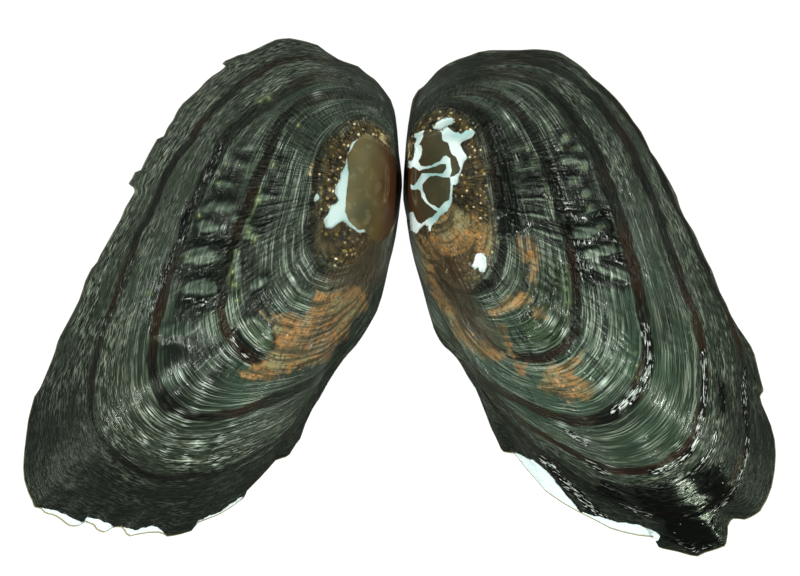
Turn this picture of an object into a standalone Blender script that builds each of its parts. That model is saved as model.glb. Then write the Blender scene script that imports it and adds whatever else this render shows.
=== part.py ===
"""A freshwater mussel shell laid open: its left and right valves side by side, outsides up.

The sizes below are in millimetres. +Z is up, +X runs from the left valve to the right one, and
+Y towards the front ends of both. The shell rests at z = 0 on the rims of its two valves.
A valve grew outwards from its beak, so a place on it is given by two shares:
growth, 0 at the beak and 1 at the margin, and station, the way round the margin from the point
beside the beak, past the front end, the belly edge and the rear end, and back along the hinge.
"""

import math

import bmesh
import bpy
import numpy as np

MM = 0.001

BEAK_HEIGHT = 23.0
RIM_WIDTH = 2.6
WALL = 3.4
BEAK_ROUNDING = 0.08

COLUMNS = 80
OUTER_ROWS = 22
RIM_ROWS = 3
INNER_ROWS = 5
HINGE_CROWDING = 0.36
HINGE_MIDDLE = 0.93
FINE_SAMPLES = 1600
SMOOTHING_SAMPLES = 81
NEWEST_GROWTH = 0.86

LEDGE = 0.8
LEDGE_HALF_WIDTH = 0.012
FOLD_HEIGHT = 1.5
FOLD_FIRST, FOLD_LAST = 0.17, 0.53

HINGE_PLATE = 5.5
PLATE_RECESS = 1.2
TOOTH_HEIGHT = 0.9

# Round a valve at shares of the margin: how the section falls away (power, bluntness), how much it
# swells above a plain dome, and how the growth lines crowd towards the margin there.
SECTIONS = (
    # station, power, bluntness, swell, crowding
    (0.00, 2.0, 0.55, 0.0, 1.00),
    (0.05, 1.8, 0.62, 0.0, 0.80),
    (0.10, 2.0, 0.68, 1.0, 0.62),
    (0.17, 2.2, 0.70, 3.0, 0.58),
    (0.24, 2.4, 0.72, 6.0, 0.80),
    (0.32, 2.5, 0.74, 8.0, 1.00),
    (0.42, 2.4, 0.76, 9.0, 1.00),
    (0.50, 2.3, 0.78, 9.0, 1.00),
    (0.57, 2.2, 0.80, 9.0, 1.00),
    (0.66, 2.0, 0.86, 6.5, 1.00),
    (0.74, 1.6, 0.92, 3.5, 1.00),
    (0.80, 1.3, 1.00, 1.0, 1.00),
    (0.90, 1.1, 1.00, 0.0, 1.00),
    (0.96, 1.3, 0.80, 0.0, 1.00),
)

LEFT = {
    "name": "left_valve",
    "turn": 1,
    "beak": (-5.0, 35.0),
    "hollow_centre": (-44.0, 12.0),
    "outline": (
        (0.4, 35.0), (-0.3, 50.0), (-1.6, 61.0), (-5.1, 67.3), (-10.2, 72.1), (-17.6, 76.3),
        (-25.3, 80.4), (-34.9, 83.0), (-45.1, 79.1), (-55.7, 75.0), (-65.0, 66.7), (-73.9, 55.1),
        (-81.0, 43.0), (-87.2, 26.3), (-95.7, 12.6), (-102.4, -0.9), (-110.1, -16.9),
        (-117.8, -32.9), (-120.0, -48.9), (-120.6, -56.2), (-116.8, -66.5), (-108.5, -71.3),
        (-96.3, -74.1), (-84.5, -75.7), (-73.3, -76.1), (-64.6, -72.2), (-49.9, -63.6),
        (-35.5, -50.8), (-25.6, -32.2), (-15.7, -19.1), (-7.7, -6.6), (-3.5, 8.7), (-1.0, 21.9),
    ),
    "rests": (0.30, 0.46, 0.70, 0.86),
    # first growth, last growth, folds in a whole turn, phase in turns, share of the fold height
    "fold_bands": (
        (0.20, 0.30, 40.0, 0.10, 0.30),
        (0.31, 0.46, 29.0, 0.35, 0.75),
        (0.48, 0.70, 27.0, 0.80, 1.00),
        (0.72, 0.86, 33.0, 0.15, 0.20),
    ),
}

RIGHT = {
    "name": "right_valve",
    "turn": -1,
    "beak": (6.6, 36.0),
    "hollow_centre": (47.0, 8.0),
    "outline": (
        (1.1, 35.0), (2.2, 47.1), (3.6, 59.3), (6.7, 66.7), (11.8, 71.5), (19.5, 75.9),
        (30.7, 78.8), (45.1, 79.5), (53.1, 78.2), (64.3, 68.9), (72.3, 60.6), (80.3, 48.7),
        (87.0, 35.9), (94.1, 21.9), (101.8, 4.3), (110.4, -12.4), (115.5, -26.5), (119.4, -41.2),
        (120.6, -49.0), (118.7, -62.3), (114.6, -69.6), (110.4, -71.6), (106.5, -71.0),
        (105.3, -74.3), (104.6, -79.9), (98.0, -81.7), (95.4, -83.1), (89.9, -82.1),
        (84.4, -80.9), (82.2, -77.2), (73.9, -75.4), (57.6, -69.3), (43.5, -58.1), (38.0, -50.6),
        (33.0, -49.2), (28.8, -39.6), (21.4, -25.5), (14.7, -17.5), (10.9, -10.1), (7.7, 2.0),
        (4.2, 13.5), (2.1, 26.5),
    ),
    "rests": (0.35, 0.44, 0.67, 0.81, 0.92),
    "fold_bands": (
        (0.22, 0.34, 38.0, 0.60, 0.30),
        (0.36, 0.44, 33.0, 0.05, 0.60),
        (0.46, 0.67, 28.0, 0.25, 1.00),
        (0.69, 0.81, 31.0, 0.55, 0.40),
    ),
}


def clear_scene():
    for thing in list(bpy.data.objects):
        bpy.data.objects.remove(thing)


def closed_spline(stations, values, at):
    """A smooth closed curve through values at stations, shares of one turn, read at the shares at."""
    values = np.asarray(values, float)
    count = len(stations)
    keys = np.concatenate([np.asarray(stations) - 1, stations, np.asarray(stations) + 1])
    rows = np.concatenate([values, values, values])
    slopes = np.gradient(rows, keys, axis=0) if rows.ndim == 1 else np.stack(
        [np.gradient(column, keys) for column in rows.T], axis=1
    )
    at = np.asarray(at, float) % 1.0
    first = np.clip(np.searchsorted(keys, at, side="right") - 1, count - 1, 2 * count)
    span = keys[first + 1] - keys[first]
    t = (at - keys[first]) / span
    if rows.ndim == 2:
        t, span = t[..., None], span[..., None]
    return (
        (2 * t**3 - 3 * t**2 + 1) * rows[first]
        + (t**3 - 2 * t**2 + t) * span * slopes[first]
        + (3 * t**2 - 2 * t**3) * rows[first + 1]
        + (t**3 - t**2) * span * slopes[first + 1]
    )


def sections(station):
    """Power, bluntness, swell and crowding at each station."""
    table = np.array(SECTIONS)
    return np.moveaxis(closed_spline(table[:, 0], table[:, 1:], station), -1, 0)


def smooth_step(low, high, value):
    t = np.clip((value - low) / (high - low), 0, 1)
    return t * t * (3 - 2 * t)


def window(first, last, value):
    """1 in the middle of a stretch and 0 outside it, with soft ends."""
    middle = (first + last) / 2
    return smooth_step(first, middle, value) * (1 - smooth_step(middle, last, value))


class Valve:
    """The smooth form of one valve: its outline, its outer dome and the hollow under it."""

    def __init__(self, facts):
        self.facts = facts
        self.beak = np.array(facts["beak"])
        self.centre = np.array(facts["hollow_centre"])
        points = np.array(facts["outline"])
        chords = np.linalg.norm(np.roll(points, -1, axis=0) - points, axis=1)
        self.knots = np.concatenate([[0], np.cumsum(chords)[:-1]]) / chords.sum()
        self.points = points
        fine = np.arange(FINE_SAMPLES) / FINE_SAMPLES
        margin = self.margin(fine)
        half = SMOOTHING_SAMPLES // 2
        padded = np.concatenate([margin[-half:], margin, margin[:half]])
        kernel = np.hanning(SMOOTHING_SAMPLES + 2)[1:-1]
        kernel /= kernel.sum()
        self.softened = np.stack([np.convolve(c, kernel, "valid") for c in padded.T], axis=1)
        away = self.softened - self.beak
        angle = np.unwrap(np.arctan2(away[:, 1], away[:, 0]) * facts["turn"])
        self.angles = np.maximum.accumulate(angle)
        self.fine = fine

    def margin(self, station):
        return closed_spline(self.knots, self.points, station)

    def soft_margin(self, station):
        """The margin without its chips and corners, which the older growth lines follow."""
        return np.stack([np.interp(station, self.fine, c, period=1.0) for c in self.softened.T], axis=-1)

    def station_towards(self, away):
        """The station that a direction from the beak points at."""
        angle = np.arctan2(away[..., 1], away[..., 0]) * self.facts["turn"]
        turned = (angle - self.angles[0]) % (2 * math.pi) + self.angles[0]
        angles = np.append(self.angles, self.angles[0] + 2 * math.pi)
        return np.interp(turned, angles, np.append(self.fine, 1.0))

    def height(self, share, station):
        """The dome's height at a share of the way from the beak to the margin."""
        power, bluntness, swell, _ = sections(station)
        share = np.clip(share, 0, 1)
        fallen = share**2 * (1 + BEAK_ROUNDING) / (share + BEAK_ROUNDING)
        dome = BEAK_HEIGHT * np.clip(1 - fallen**power, 0, 1) ** bluntness
        return dome + swell * np.sin(math.pi * share**0.72) ** 1.3

    def outside(self, growth, station):
        crowding = sections(station)[3]
        share = growth**crowding
        newest = smooth_step(NEWEST_GROWTH, 1, growth)[..., None]
        margin = self.soft_margin(station) * (1 - newest) + self.margin(station) * newest
        plan = self.beak + share[..., None] * (margin - self.beak)
        return np.concatenate([plan, self.height(share, station)[..., None]], axis=-1)

    def height_over(self, plan):
        """The dome's height over a point of the plan."""
        away = plan - self.beak
        station = self.station_towards(away)
        reach = np.linalg.norm(self.soft_margin(station) - self.beak, axis=-1)
        return self.height(np.linalg.norm(away, axis=-1) / reach, station)

    def hollow_edge(self, station):
        """The inner edge of the rim, wider along the hinge than at the belly."""
        away = self.soft_margin(station) - self.centre
        length = np.linalg.norm(away, axis=-1, keepdims=True)
        hinge = hinge_share(station)[..., None]
        width = RIM_WIDTH + (HINGE_PLATE - RIM_WIDTH) * hinge
        return self.centre + away * (1 - width / length)

    def inside(self, share, station):
        """The smooth hollow: the dome above it less the wall, which is thinner over the beak."""
        plan = self.centre + share[..., None] * (self.hollow_edge(station) - self.centre)
        step = 0.5
        top = self.height_over(plan)
        slope_x = (self.height_over(plan + (step, 0)) - self.height_over(plan - (step, 0))) / (2 * step)
        slope_y = (self.height_over(plan + (0, step)) - self.height_over(plan - (0, step))) / (2 * step)
        steepness = np.sqrt(1 + np.minimum(slope_x**2 + slope_y**2, 9))
        height = np.clip(top - WALL * steepness, 0, None) * (1 - share**14)
        return np.concatenate([plan, height[..., None]], axis=-1)


def hinge_share(station):
    """1 along the hinge, from in front of the beak to the end of the long teeth, and 0 elsewhere."""
    behind = smooth_step(0.80, 0.86, station)
    before = 1 - smooth_step(0.03, 0.08, station)
    return np.where(station > 0.5, behind, before)


def growth_rows(rests):
    """Rows of growth from the beak to the margin, with a pair of rows at each growth rest."""
    even = np.linspace(0, 1, OUTER_ROWS - len(rests) + 1)
    kept = [g for g in even if all(abs(g - rest) > 1.6 * LEDGE_HALF_WIDTH for rest in rests)]
    pairs = [rest + side * LEDGE_HALF_WIDTH for rest in rests for side in (-1, 1)]
    return np.array(sorted(kept + pairs))


def ledges(facts, growth, station):
    """Each growth rest is a ledge: the shell swells up to it and starts again lower down."""
    height = np.zeros_like(growth)
    starts = (0.0,) + facts["rests"]
    for start, rest in zip(starts, facts["rests"]):
        rise = np.clip((growth - start) / (rest - start), 0, 1) ** 3
        height += LEDGE * rise * (growth <= rest)
    return height * window(0.02, 0.90, station) ** 0.3


def folds(facts, growth, station):
    """Washboard folds across the growth lines, in a row of knobs inside each growth rest."""
    height = np.zeros_like(growth)
    for first, last, count, phase, share in facts["fold_bands"]:
        across = np.clip((growth - first) / (last - first), 0, 1)
        swell = np.sin(math.pi * across**1.6) ** 0.8
        lean = 0.6 * (across - 0.5)
        height += share * swell * np.cos(2 * math.pi * (count * station + phase + lean))
    return FOLD_HEIGHT * height * window(FOLD_FIRST, FOLD_LAST, station) ** 0.6


def outward(grid):
    """Unit normals of a closed grid of points whose first row is one point."""
    along = np.gradient(grid, axis=0)
    around = np.roll(grid, -1, axis=1) - np.roll(grid, 1, axis=1)
    normal = np.cross(along, around)
    length = np.linalg.norm(normal, axis=-1, keepdims=True)
    return normal / np.maximum(length, 1e-9)


def teeth(station, across, turn):
    """The hinge plate's height above the rim: a dip, with long teeth behind the beak and short ones by it."""
    hinge = hinge_share(station)
    plate = PLATE_RECESS * np.sin(math.pi * across**1.6)
    long_tooth = window(0.84, 0.97, station)
    short_teeth = window(-0.01, 0.05, station) + window(0.97, 1.03, station)
    ridge = np.maximum(long_tooth, short_teeth * np.abs(np.cos(70 * station + turn)))
    return hinge * (plate - TOOTH_HEIGHT * ridge * window(0.2, 0.95, across))


def valve_points(facts):
    """Every row of a valve as points: down the outside, across the rim, and up the hollow."""
    valve = Valve(facts)
    turn = np.arange(COLUMNS) / COLUMNS
    crowd = HINGE_CROWDING / (2 * math.pi)
    middle = 2 * math.pi * HINGE_MIDDLE
    station = turn + crowd * (np.sin(2 * math.pi * turn - middle) + math.sin(middle))
    station = station % 1.0
    growth = growth_rows(facts["rests"])
    growth, around = np.meshgrid(growth, station, indexing="ij")
    smooth = valve.outside(growth, around)
    normal = outward(smooth) * facts["turn"]
    normal[0] = (0, 0, 1)
    relief = ledges(facts, growth, around) + folds(facts, growth, around)
    relief *= 1 - smooth_step(0.93, 1.0, growth)
    relief *= smooth_step(0.0, 0.08, growth)
    outer = smooth + relief[..., None] * normal
    across = np.arange(1, RIM_ROWS + 1) / (RIM_ROWS + 1)
    across, around = np.meshgrid(across, station, indexing="ij")
    edge, hollow = valve.margin(around), valve.hollow_edge(around)
    rim_plan = edge + across[..., None] * (hollow - edge)
    rim = np.concatenate([rim_plan, teeth(around, across, facts["turn"])[..., None]], axis=-1)
    share = 1 - np.arange(INNER_ROWS + 1) / INNER_ROWS
    share, around = np.meshgrid(share, station, indexing="ij")
    inner = valve.inside(share**0.8, around)
    return np.concatenate([outer, rim, inner])


def build_valve(facts, material):
    """Wraps a sphere's rows and columns onto the rows and columns of the valve."""
    rows = valve_points(facts)
    last = len(rows) - 1
    bm = bmesh.new()
    bmesh.ops.create_uvsphere(bm, u_segments=COLUMNS, v_segments=last, radius=1.0)
    for vertex in bm.verts:
        row = round(math.acos(max(-1.0, min(1.0, vertex.co.z))) / math.pi * last)
        turned = math.atan2(vertex.co.y, vertex.co.x) / (2 * math.pi) * facts["turn"]
        vertex.co = rows[row, round(turned * COLUMNS) % COLUMNS] * MM
    bmesh.ops.triangulate(bm, faces=bm.faces)
    mesh = bpy.data.meshes.new(facts["name"])
    bm.to_mesh(mesh)
    bm.free()
    mesh.shade_smooth()
    mesh.set_sharp_from_angle(angle=math.radians(50))
    mesh.materials.append(material)
    shell = bpy.data.objects.new(facts["name"], mesh)
    bpy.context.scene.collection.objects.link(shell)
    return shell


def shell_material():
    """The dark horny skin of the shell, green-black and slightly glossy."""
    material = bpy.data.materials.new("mussel_skin")
    material.use_nodes = True
    shader = material.node_tree.nodes["Principled BSDF"]
    shader.inputs["Base Color"].default_value = (0.016, 0.024, 0.019, 1)
    shader.inputs["Roughness"].default_value = 0.42
    shader.inputs["Metallic"].default_value = 0.0
    return material


clear_scene()
skin = shell_material()
for valve_facts in (LEFT, RIGHT):
    build_valve(valve_facts, skin)
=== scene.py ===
"""The look of a freshwater mussel shell laid open, rims down, its two valves meeting at the beaks."""

import math

import bmesh
import bpy
import numpy as np
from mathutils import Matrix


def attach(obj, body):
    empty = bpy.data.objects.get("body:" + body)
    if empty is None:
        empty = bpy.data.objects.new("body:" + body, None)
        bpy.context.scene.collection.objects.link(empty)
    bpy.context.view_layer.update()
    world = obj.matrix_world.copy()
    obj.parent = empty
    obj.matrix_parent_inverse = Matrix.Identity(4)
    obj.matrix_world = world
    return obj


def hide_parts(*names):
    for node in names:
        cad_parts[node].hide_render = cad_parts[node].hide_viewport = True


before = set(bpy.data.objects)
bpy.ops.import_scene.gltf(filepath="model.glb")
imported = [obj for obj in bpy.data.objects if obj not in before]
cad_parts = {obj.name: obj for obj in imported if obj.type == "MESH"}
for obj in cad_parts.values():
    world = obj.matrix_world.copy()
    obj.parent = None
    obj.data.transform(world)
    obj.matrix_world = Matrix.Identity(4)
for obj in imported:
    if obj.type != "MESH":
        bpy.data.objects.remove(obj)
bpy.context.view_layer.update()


# The left valve is a long dome of shell, about 3 mm thick, lying rim down. It grew outwards from
# its beak, laying new shell along its margin: growth is 0 at the beak and 1 at the margin, and
# station is the share of the way round the margin. Sizes are in millimetres, and outlines and marks
# are read off the photograph in its pixels.

MM = 0.001
PHOTO_MM = 0.32
PHOTO_MIDDLE = (399.0, 297.3)

# the dome, the flat rim under it, and the hinge plate with its teeth
BEAK_HEIGHT = 23.0
BEAK_ROUNDING = 0.08
WALL = 3.4
RIM_WIDTH = 2.6
HINGE_PLATE = 5.5
PLATE_RECESS = 1.2
TOOTH_HEIGHT = 0.9
LONG_TOOTH = (0.84, 0.97)
TEETH_ROUND = 70
EDGE_THICKNESS = 0.25

# how finely the mesh follows the valve, and how much closer its columns stand along the hinge
COLUMNS = 328
OUTER_ROWS = 270
RIM_ROWS = 5
INNER_ROWS = 23
HINGE_CROWDING = 0.36
HINGE_MIDDLE = 0.93
# how finely the outlines are followed, and over how many samples they are smoothed
FINE_SAMPLES = 1600
REST_SAMPLES = 400
SMOOTHING_SAMPLES = 81
LINE_SMOOTHING_SAMPLES = 41
# from what growth the lines are as ragged as the margin, how close two growth rests may come, and
# where the rounding of the beak ends
NEWEST_GROWTH = 0.90
CLOSEST_RESTS = 0.012
OLDEST_SHELL = (0.06, 0.22)

# Round a valve: how the section falls away from the beak, and how much it swells above a plain dome.
SECTIONS = (
    # station, power, bluntness, swell
    (0.00, 2.0, 0.55, 0.0),
    (0.05, 1.8, 0.62, 0.0),
    (0.10, 2.0, 0.68, 1.0),
    (0.17, 2.2, 0.70, 3.0),
    (0.24, 2.4, 0.72, 6.0),
    (0.32, 2.5, 0.74, 8.0),
    (0.42, 2.4, 0.76, 9.0),
    (0.50, 2.3, 0.78, 9.0),
    (0.57, 2.2, 0.80, 9.0),
    (0.66, 2.0, 0.86, 6.5),
    (0.74, 1.6, 0.92, 3.5),
    (0.80, 1.3, 1.00, 1.0),
    (0.90, 1.1, 1.00, 0.0),
    (0.96, 1.3, 0.80, 0.0),
)

LEFT = {
    "turn": 1,
    "beak": (-5.0, 35.0),
    "hollow_centre": (-44.0, 12.0),
    "seed": 11,
    "body": (
        (0.4, 35.0), (-0.3, 50.0), (-1.6, 61.0), (-5.1, 67.3), (-10.2, 72.1), (-17.6, 76.3),
        (-25.3, 80.4), (-34.9, 83.0), (-45.1, 79.1), (-55.7, 75.0), (-65.0, 66.7), (-73.9, 55.1),
        (-81.0, 43.0), (-87.2, 26.3), (-95.7, 12.6), (-102.4, -0.9), (-110.1, -16.9),
        (-117.8, -32.9), (-120.0, -48.9), (-120.6, -56.2), (-116.8, -66.5), (-108.5, -71.3),
        (-96.3, -74.1), (-84.5, -75.7), (-73.3, -76.1), (-64.6, -72.2), (-49.9, -63.6),
        (-35.5, -50.8), (-25.6, -32.2), (-15.7, -19.1), (-7.7, -6.6), (-3.5, 8.7), (-1.0, 21.9),
    ),
    "ragged_margin": (
        (402.3, 186), (401.8, 175), (400.4, 164), (398, 146), (397, 130), (395, 112), (391, 100),
        (384, 90), (376, 80),
        (366, 73), (358, 66), (340, 60), (327, 52), (318, 45), (305, 41), (290, 38), (277, 39),
        (268, 43), (258, 48), (247, 53), (238, 55), (232, 58), (224, 61), (222, 64), (226, 66),
        (220, 71), (212, 76), (205, 82), (199, 89), (190, 97), (183, 103), (177, 111), (173, 120),
        (167, 128), (164, 136), (157, 139), (153, 146), (148, 155), (143, 165), (141, 170),
        (135, 172), (132, 178), (128, 184), (133, 187), (135, 191), (131, 198), (125, 208),
        (120, 220), (113, 232), (107, 243), (100, 255), (97, 262), (91, 269), (85, 281), (83, 288),
        (79, 300), (73, 312), (66, 325), (60, 336), (57, 343), (55, 351), (51, 362), (46, 374),
        (40, 388), (34, 397), (31, 408), (28, 420), (26, 435), (24, 452), (23, 468), (24, 480),
        (28, 493), (33, 503), (33, 507), (41, 509), (45, 514), (53, 515), (61, 520), (68, 526),
        (76, 527), (82, 524), (85, 522), (93, 525), (97, 531), (105, 533), (112, 528), (118, 527),
        (123, 528), (125, 533), (128, 537), (136, 535), (149, 533), (161, 533), (164, 535),
        (167, 537), (179, 535), (192, 531), (196, 525), (198, 523), (219, 515), (232, 507),
        (240, 501), (244, 498), (245, 493), (252, 486), (260, 478), (270, 467), (276, 460),
        (284, 458), (289, 456), (295, 446), (300, 440), (305, 425), (312, 410), (320, 398),
        (327, 385), (335, 372), (345, 358), (355, 348), (364, 335), (371, 323), (377, 312),
        (382, 297), (386, 280), (389, 265), (393, 250), (396, 235), (399, 215), (401, 197),
    ),
    # Growth rests: growth, how far inside and outside its line the dark band reaches, and the line.
    "rests": (
        (0.25, (-4, 2), (
            (392, 140), (383, 128), (368, 119), (352, 121), (336, 133), (325, 150), (318, 172),
            (315, 198), (312, 225), (313, 248), (322, 266), (338, 272), (352, 268), (368, 252),
            (382, 238),
        )),
        (0.50, (-6, 5), (
            (396, 128), (388, 112), (370, 100), (345, 96), (318, 99), (300, 107), (287, 120),
            (278, 134), (271, 150), (264, 167), (257, 187), (250, 207), (241, 232), (231, 256),
            (226, 280), (224, 305), (228, 328), (238, 345), (252, 358), (272, 366), (298, 366),
            (322, 357), (345, 338), (365, 312), (383, 275),
        )),
        (0.72, (-13, 1), (
            (397, 120), (390, 103), (372, 86), (345, 76), (315, 74), (288, 84), (266, 100),
            (246, 115), (229, 130), (216, 150), (206, 172), (195, 195), (185, 218), (177, 242),
            (169, 265), (163, 288), (158, 310), (154, 332), (152, 355), (153, 378), (160, 398),
            (172, 412), (192, 420), (222, 419), (252, 411), (282, 400), (308, 388), (330, 370),
            (352, 345),
        )),
        (0.87, (-4, 4), (
            (396, 112), (386, 95), (366, 76), (340, 66), (310, 60), (280, 64), (255, 76),
            (232, 94), (214, 112), (199, 130), (185, 150), (172, 172), (160, 195), (150, 215),
            (140, 235), (131, 257), (122, 282), (112, 315), (103, 335), (98, 360), (94, 388),
            (94, 412), (101, 433), (115, 450), (135, 466), (160, 476), (195, 477), (232, 466),
            (262, 451), (285, 434), (303, 410), (316, 392),
        )),
    ),
    # Lumps: middle, half length and half width in pixels, turn in degrees, height in millimetres.
    "lumps": (
        (222, 211, 20, 8, 10, 1.6), (212, 229, 12, 9, 0, 1.9), (206, 259, 18, 11, 10, 2.2),
        (206, 289, 20, 10, 5, 2.0), (240, 221, 14, 6, -15, 1.0), (265, 203, 11, 7, 20, 1.2),
        (253, 236, 9, 8, 0, 1.2), (241, 272, 5, 20, 0, 1.0), (262, 284, 12, 7, 30, 1.0),
        (258, 333, 20, 15, -50, 2.2), (276, 170, 6, 10, 0, 0.9), (242, 168, 9, 6, 0, 0.8),
        (228, 187, 9, 6, 0, 0.8), (252, 150, 9, 5, 15, 0.7), (292, 153, 8, 5, 15, 0.6),
        (184, 330, 26, 13, 5, 0.9), (178, 375, 20, 14, 60, 0.9), (212, 365, 24, 12, 55, 0.9),
    ),
}


def on_table(pixels):
    """Photo pixels as millimetres on the table, +X right and +Y up the photo."""
    pixels = np.asarray(pixels, float)
    away = (pixels - PHOTO_MIDDLE) * PHOTO_MM
    return away * (1, -1)


def closed_spline(keys, values, at):
    """A smooth closed curve through values at keys, shares of one turn, read at the shares at."""
    values = np.asarray(values, float)
    count = len(keys)
    keys = np.concatenate([np.asarray(keys) - 1, keys, np.asarray(keys) + 1])
    rows = np.concatenate([values, values, values])
    slopes = np.stack([np.gradient(column, keys) for column in rows.T], axis=1)
    at = np.asarray(at, float) % 1.0
    first = np.clip(np.searchsorted(keys, at, side="right") - 1, count - 1, 2 * count)
    span = (keys[first + 1] - keys[first])[..., None]
    t = (at - keys[first])[..., None] / span
    return (
        (2 * t**3 - 3 * t**2 + 1) * rows[first]
        + (t**3 - 2 * t**2 + t) * span * slopes[first]
        + (3 * t**2 - 2 * t**3) * rows[first + 1]
        + (t**3 - t**2) * span * slopes[first + 1]
    )


def read_round(at, keys, table):
    """The columns of a closed table, read off at some places between its keys."""
    return np.stack([np.interp(at, keys, column, period=1.0) for column in table.T], axis=-1)


def lengths_along(points):
    """Where each point of a closed outline lies, as a share of its whole length."""
    chords = np.linalg.norm(np.roll(points, -1, axis=0) - points, axis=1)
    return np.concatenate([[0], np.cumsum(chords)[:-1]]) / chords.sum()


def averaged(table, samples):
    """A closed table of values with each one averaged over its neighbours."""
    half = samples // 2
    kernel = np.hanning(samples + 2)[1:-1]
    kernel /= kernel.sum()
    padded = np.concatenate([table[-half:], table, table[:half]])
    return np.stack([np.convolve(column, kernel, "valid") for column in padded.T], axis=1)


def sections(station):
    """The power, bluntness and swell of the valve's section, read off between its keys."""
    table = np.array(SECTIONS)
    return np.moveaxis(closed_spline(table[:, 0], table[:, 1:], station), -1, 0)


def eased(t):
    """Goes from 0 to 1 with soft ends."""
    return t * t * (3 - 2 * t)


def smooth_step(low, high, value):
    return eased(np.clip((value - low) / (high - low), 0, 1))


def window(first, last, value):
    """1 in the middle of a stretch and 0 outside it, with soft ends."""
    middle = (first + last) / 2
    return smooth_step(first, middle, value) * (1 - smooth_step(middle, last, value))


def hinge_share(station):
    """1 along the hinge, from in front of the beak to the end of the long teeth, and 0 elsewhere."""
    behind = smooth_step(0.80, 0.86, station)
    before = 1 - smooth_step(0.03, 0.08, station)
    return np.where(station > 0.5, behind, before)


class Valve:
    """The smooth form of one valve, and the growth lines on it."""

    def __init__(self, facts):
        self.facts = facts
        self.beak = np.array(facts["beak"])
        self.centre = np.array(facts["hollow_centre"])
        body = np.array(facts["body"])
        self.fine = np.arange(FINE_SAMPLES) / FINE_SAMPLES
        smooth = closed_spline(lengths_along(body), body, self.fine)
        self.softened = averaged(smooth, SMOOTHING_SAMPLES)
        away = self.softened - self.beak
        angle = np.unwrap(np.arctan2(away[:, 1], away[:, 0]) * facts["turn"])
        self.angles = np.maximum.accumulate(angle)
        self.ragged = self.ragged_by_station(on_table(facts["ragged_margin"]))
        self.growth_knots = np.array([0.0] + [rest[0] for rest in facts["rests"]] + [1.0])
        self.share_knots = self.traced_shares()

    def soft_margin(self, station):
        """The margin without its chips and corners, which the older growth lines follow."""
        return read_round(station, self.fine, self.softened)

    def ragged_by_station(self, points):
        """The real margin's points at the fine stations, matched by how far round the valve they lie."""
        closed = np.concatenate([points, points[:1]])
        cuts = np.concatenate([lengths_along(points), [1.0]])
        nearest = lengths_along(self.softened)
        offset = nearest[np.argmin(np.linalg.norm(self.softened - points[0], axis=1))]
        return read_round(nearest - (offset - round(offset)), cuts, closed)

    def margin(self, station):
        """The real, ragged margin."""
        return read_round(station, self.fine, self.ragged)

    def station_towards(self, away):
        """The station that a direction from the beak points at."""
        angle = np.arctan2(away[..., 1], away[..., 0]) * self.facts["turn"]
        turned = (angle - self.angles[0]) % (2 * math.pi) + self.angles[0]
        angles = np.append(self.angles, self.angles[0] + 2 * math.pi)
        return np.interp(turned, angles, np.append(self.fine, 1.0))

    def reach(self, station):
        return np.linalg.norm(self.soft_margin(station) - self.beak, axis=-1)

    def traced_shares(self):
        """How far out each traced growth rest lies at the fine stations, as a share of the reach."""
        shares = [np.zeros(FINE_SAMPLES)]
        for _, _, pixels in self.facts["rests"]:
            away = on_table(pixels) - self.beak
            knots = np.arange(len(away))
            along = np.linspace(0, len(away) - 1, REST_SAMPLES)
            dense = np.stack([np.interp(along, knots, c) for c in away.T], axis=1)
            station = self.station_towards(dense)
            share = np.linalg.norm(dense, axis=1) / self.reach(station)
            order = np.argsort(station)
            shares.append(np.interp(self.fine, station[order], share[order], period=1.0))
        shares.append(np.ones(FINE_SAMPLES))
        for older in range(len(shares) - 2, 0, -1):
            shares[older] = np.minimum(shares[older], shares[older + 1] - CLOSEST_RESTS)
        return averaged(np.stack(shares, axis=1), LINE_SMOOTHING_SAMPLES)

    def share_at(self, growth, station):
        """The share of the way from the beak to the margin that a growth line has reached."""
        share = np.zeros_like(growth)
        knots = read_round(station, self.fine, self.share_knots)
        for index in range(len(self.growth_knots) - 1):
            low, high = self.growth_knots[index : index + 2]
            t = np.clip((growth - low) / (high - low), 0, 1)
            share += t * (knots[..., index + 1] - knots[..., index])
        return share

    def height(self, share, station):
        """The dome's height at a share of the way from the beak to the margin."""
        power, bluntness, swell = sections(station)
        share = np.clip(share, 0, 1)
        fallen = share**2 * (1 + BEAK_ROUNDING) / (share + BEAK_ROUNDING)
        dome = BEAK_HEIGHT * np.clip(1 - fallen**power, 0, 1) ** bluntness
        return dome + swell * np.sin(math.pi * share**0.72) ** 1.3

    def outside(self, growth, station):
        share = self.share_at(growth, station)
        newest = smooth_step(NEWEST_GROWTH, 1, growth)[..., None]
        margin = self.soft_margin(station) * (1 - newest) + self.margin(station) * newest
        away = share[..., None] * (margin - self.beak)
        height = self.height(share, station)
        rounded = 1 - smooth_step(*OLDEST_SHELL, growth)
        x, y = away[..., 0], away[..., 1]
        terms = np.stack([np.ones_like(x), x, y, x * x, x * y, y * y], axis=-1)
        near = (growth < OLDEST_SHELL[1] * 1.2) & (growth > 0)
        weights = share[near][:, None]
        fit = np.linalg.lstsq(terms[near] * weights, height[near] * weights[:, 0], rcond=None)[0]
        height = height * (1 - rounded) + (terms @ fit) * rounded
        return np.concatenate([self.beak + away, height[..., None]], axis=-1)

    def height_over(self, plan):
        """The dome's height over a point of the plan."""
        away = plan - self.beak
        station = self.station_towards(away)
        return self.height(np.linalg.norm(away, axis=-1) / self.reach(station), station)

    def hollow_edge(self, station):
        """The inner edge of the rim, wider along the hinge than at the belly."""
        away = self.soft_margin(station) - self.centre
        length = np.linalg.norm(away, axis=-1, keepdims=True)
        width = RIM_WIDTH + (HINGE_PLATE - RIM_WIDTH) * hinge_share(station)[..., None]
        return self.centre + away * (1 - width / length)

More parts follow.
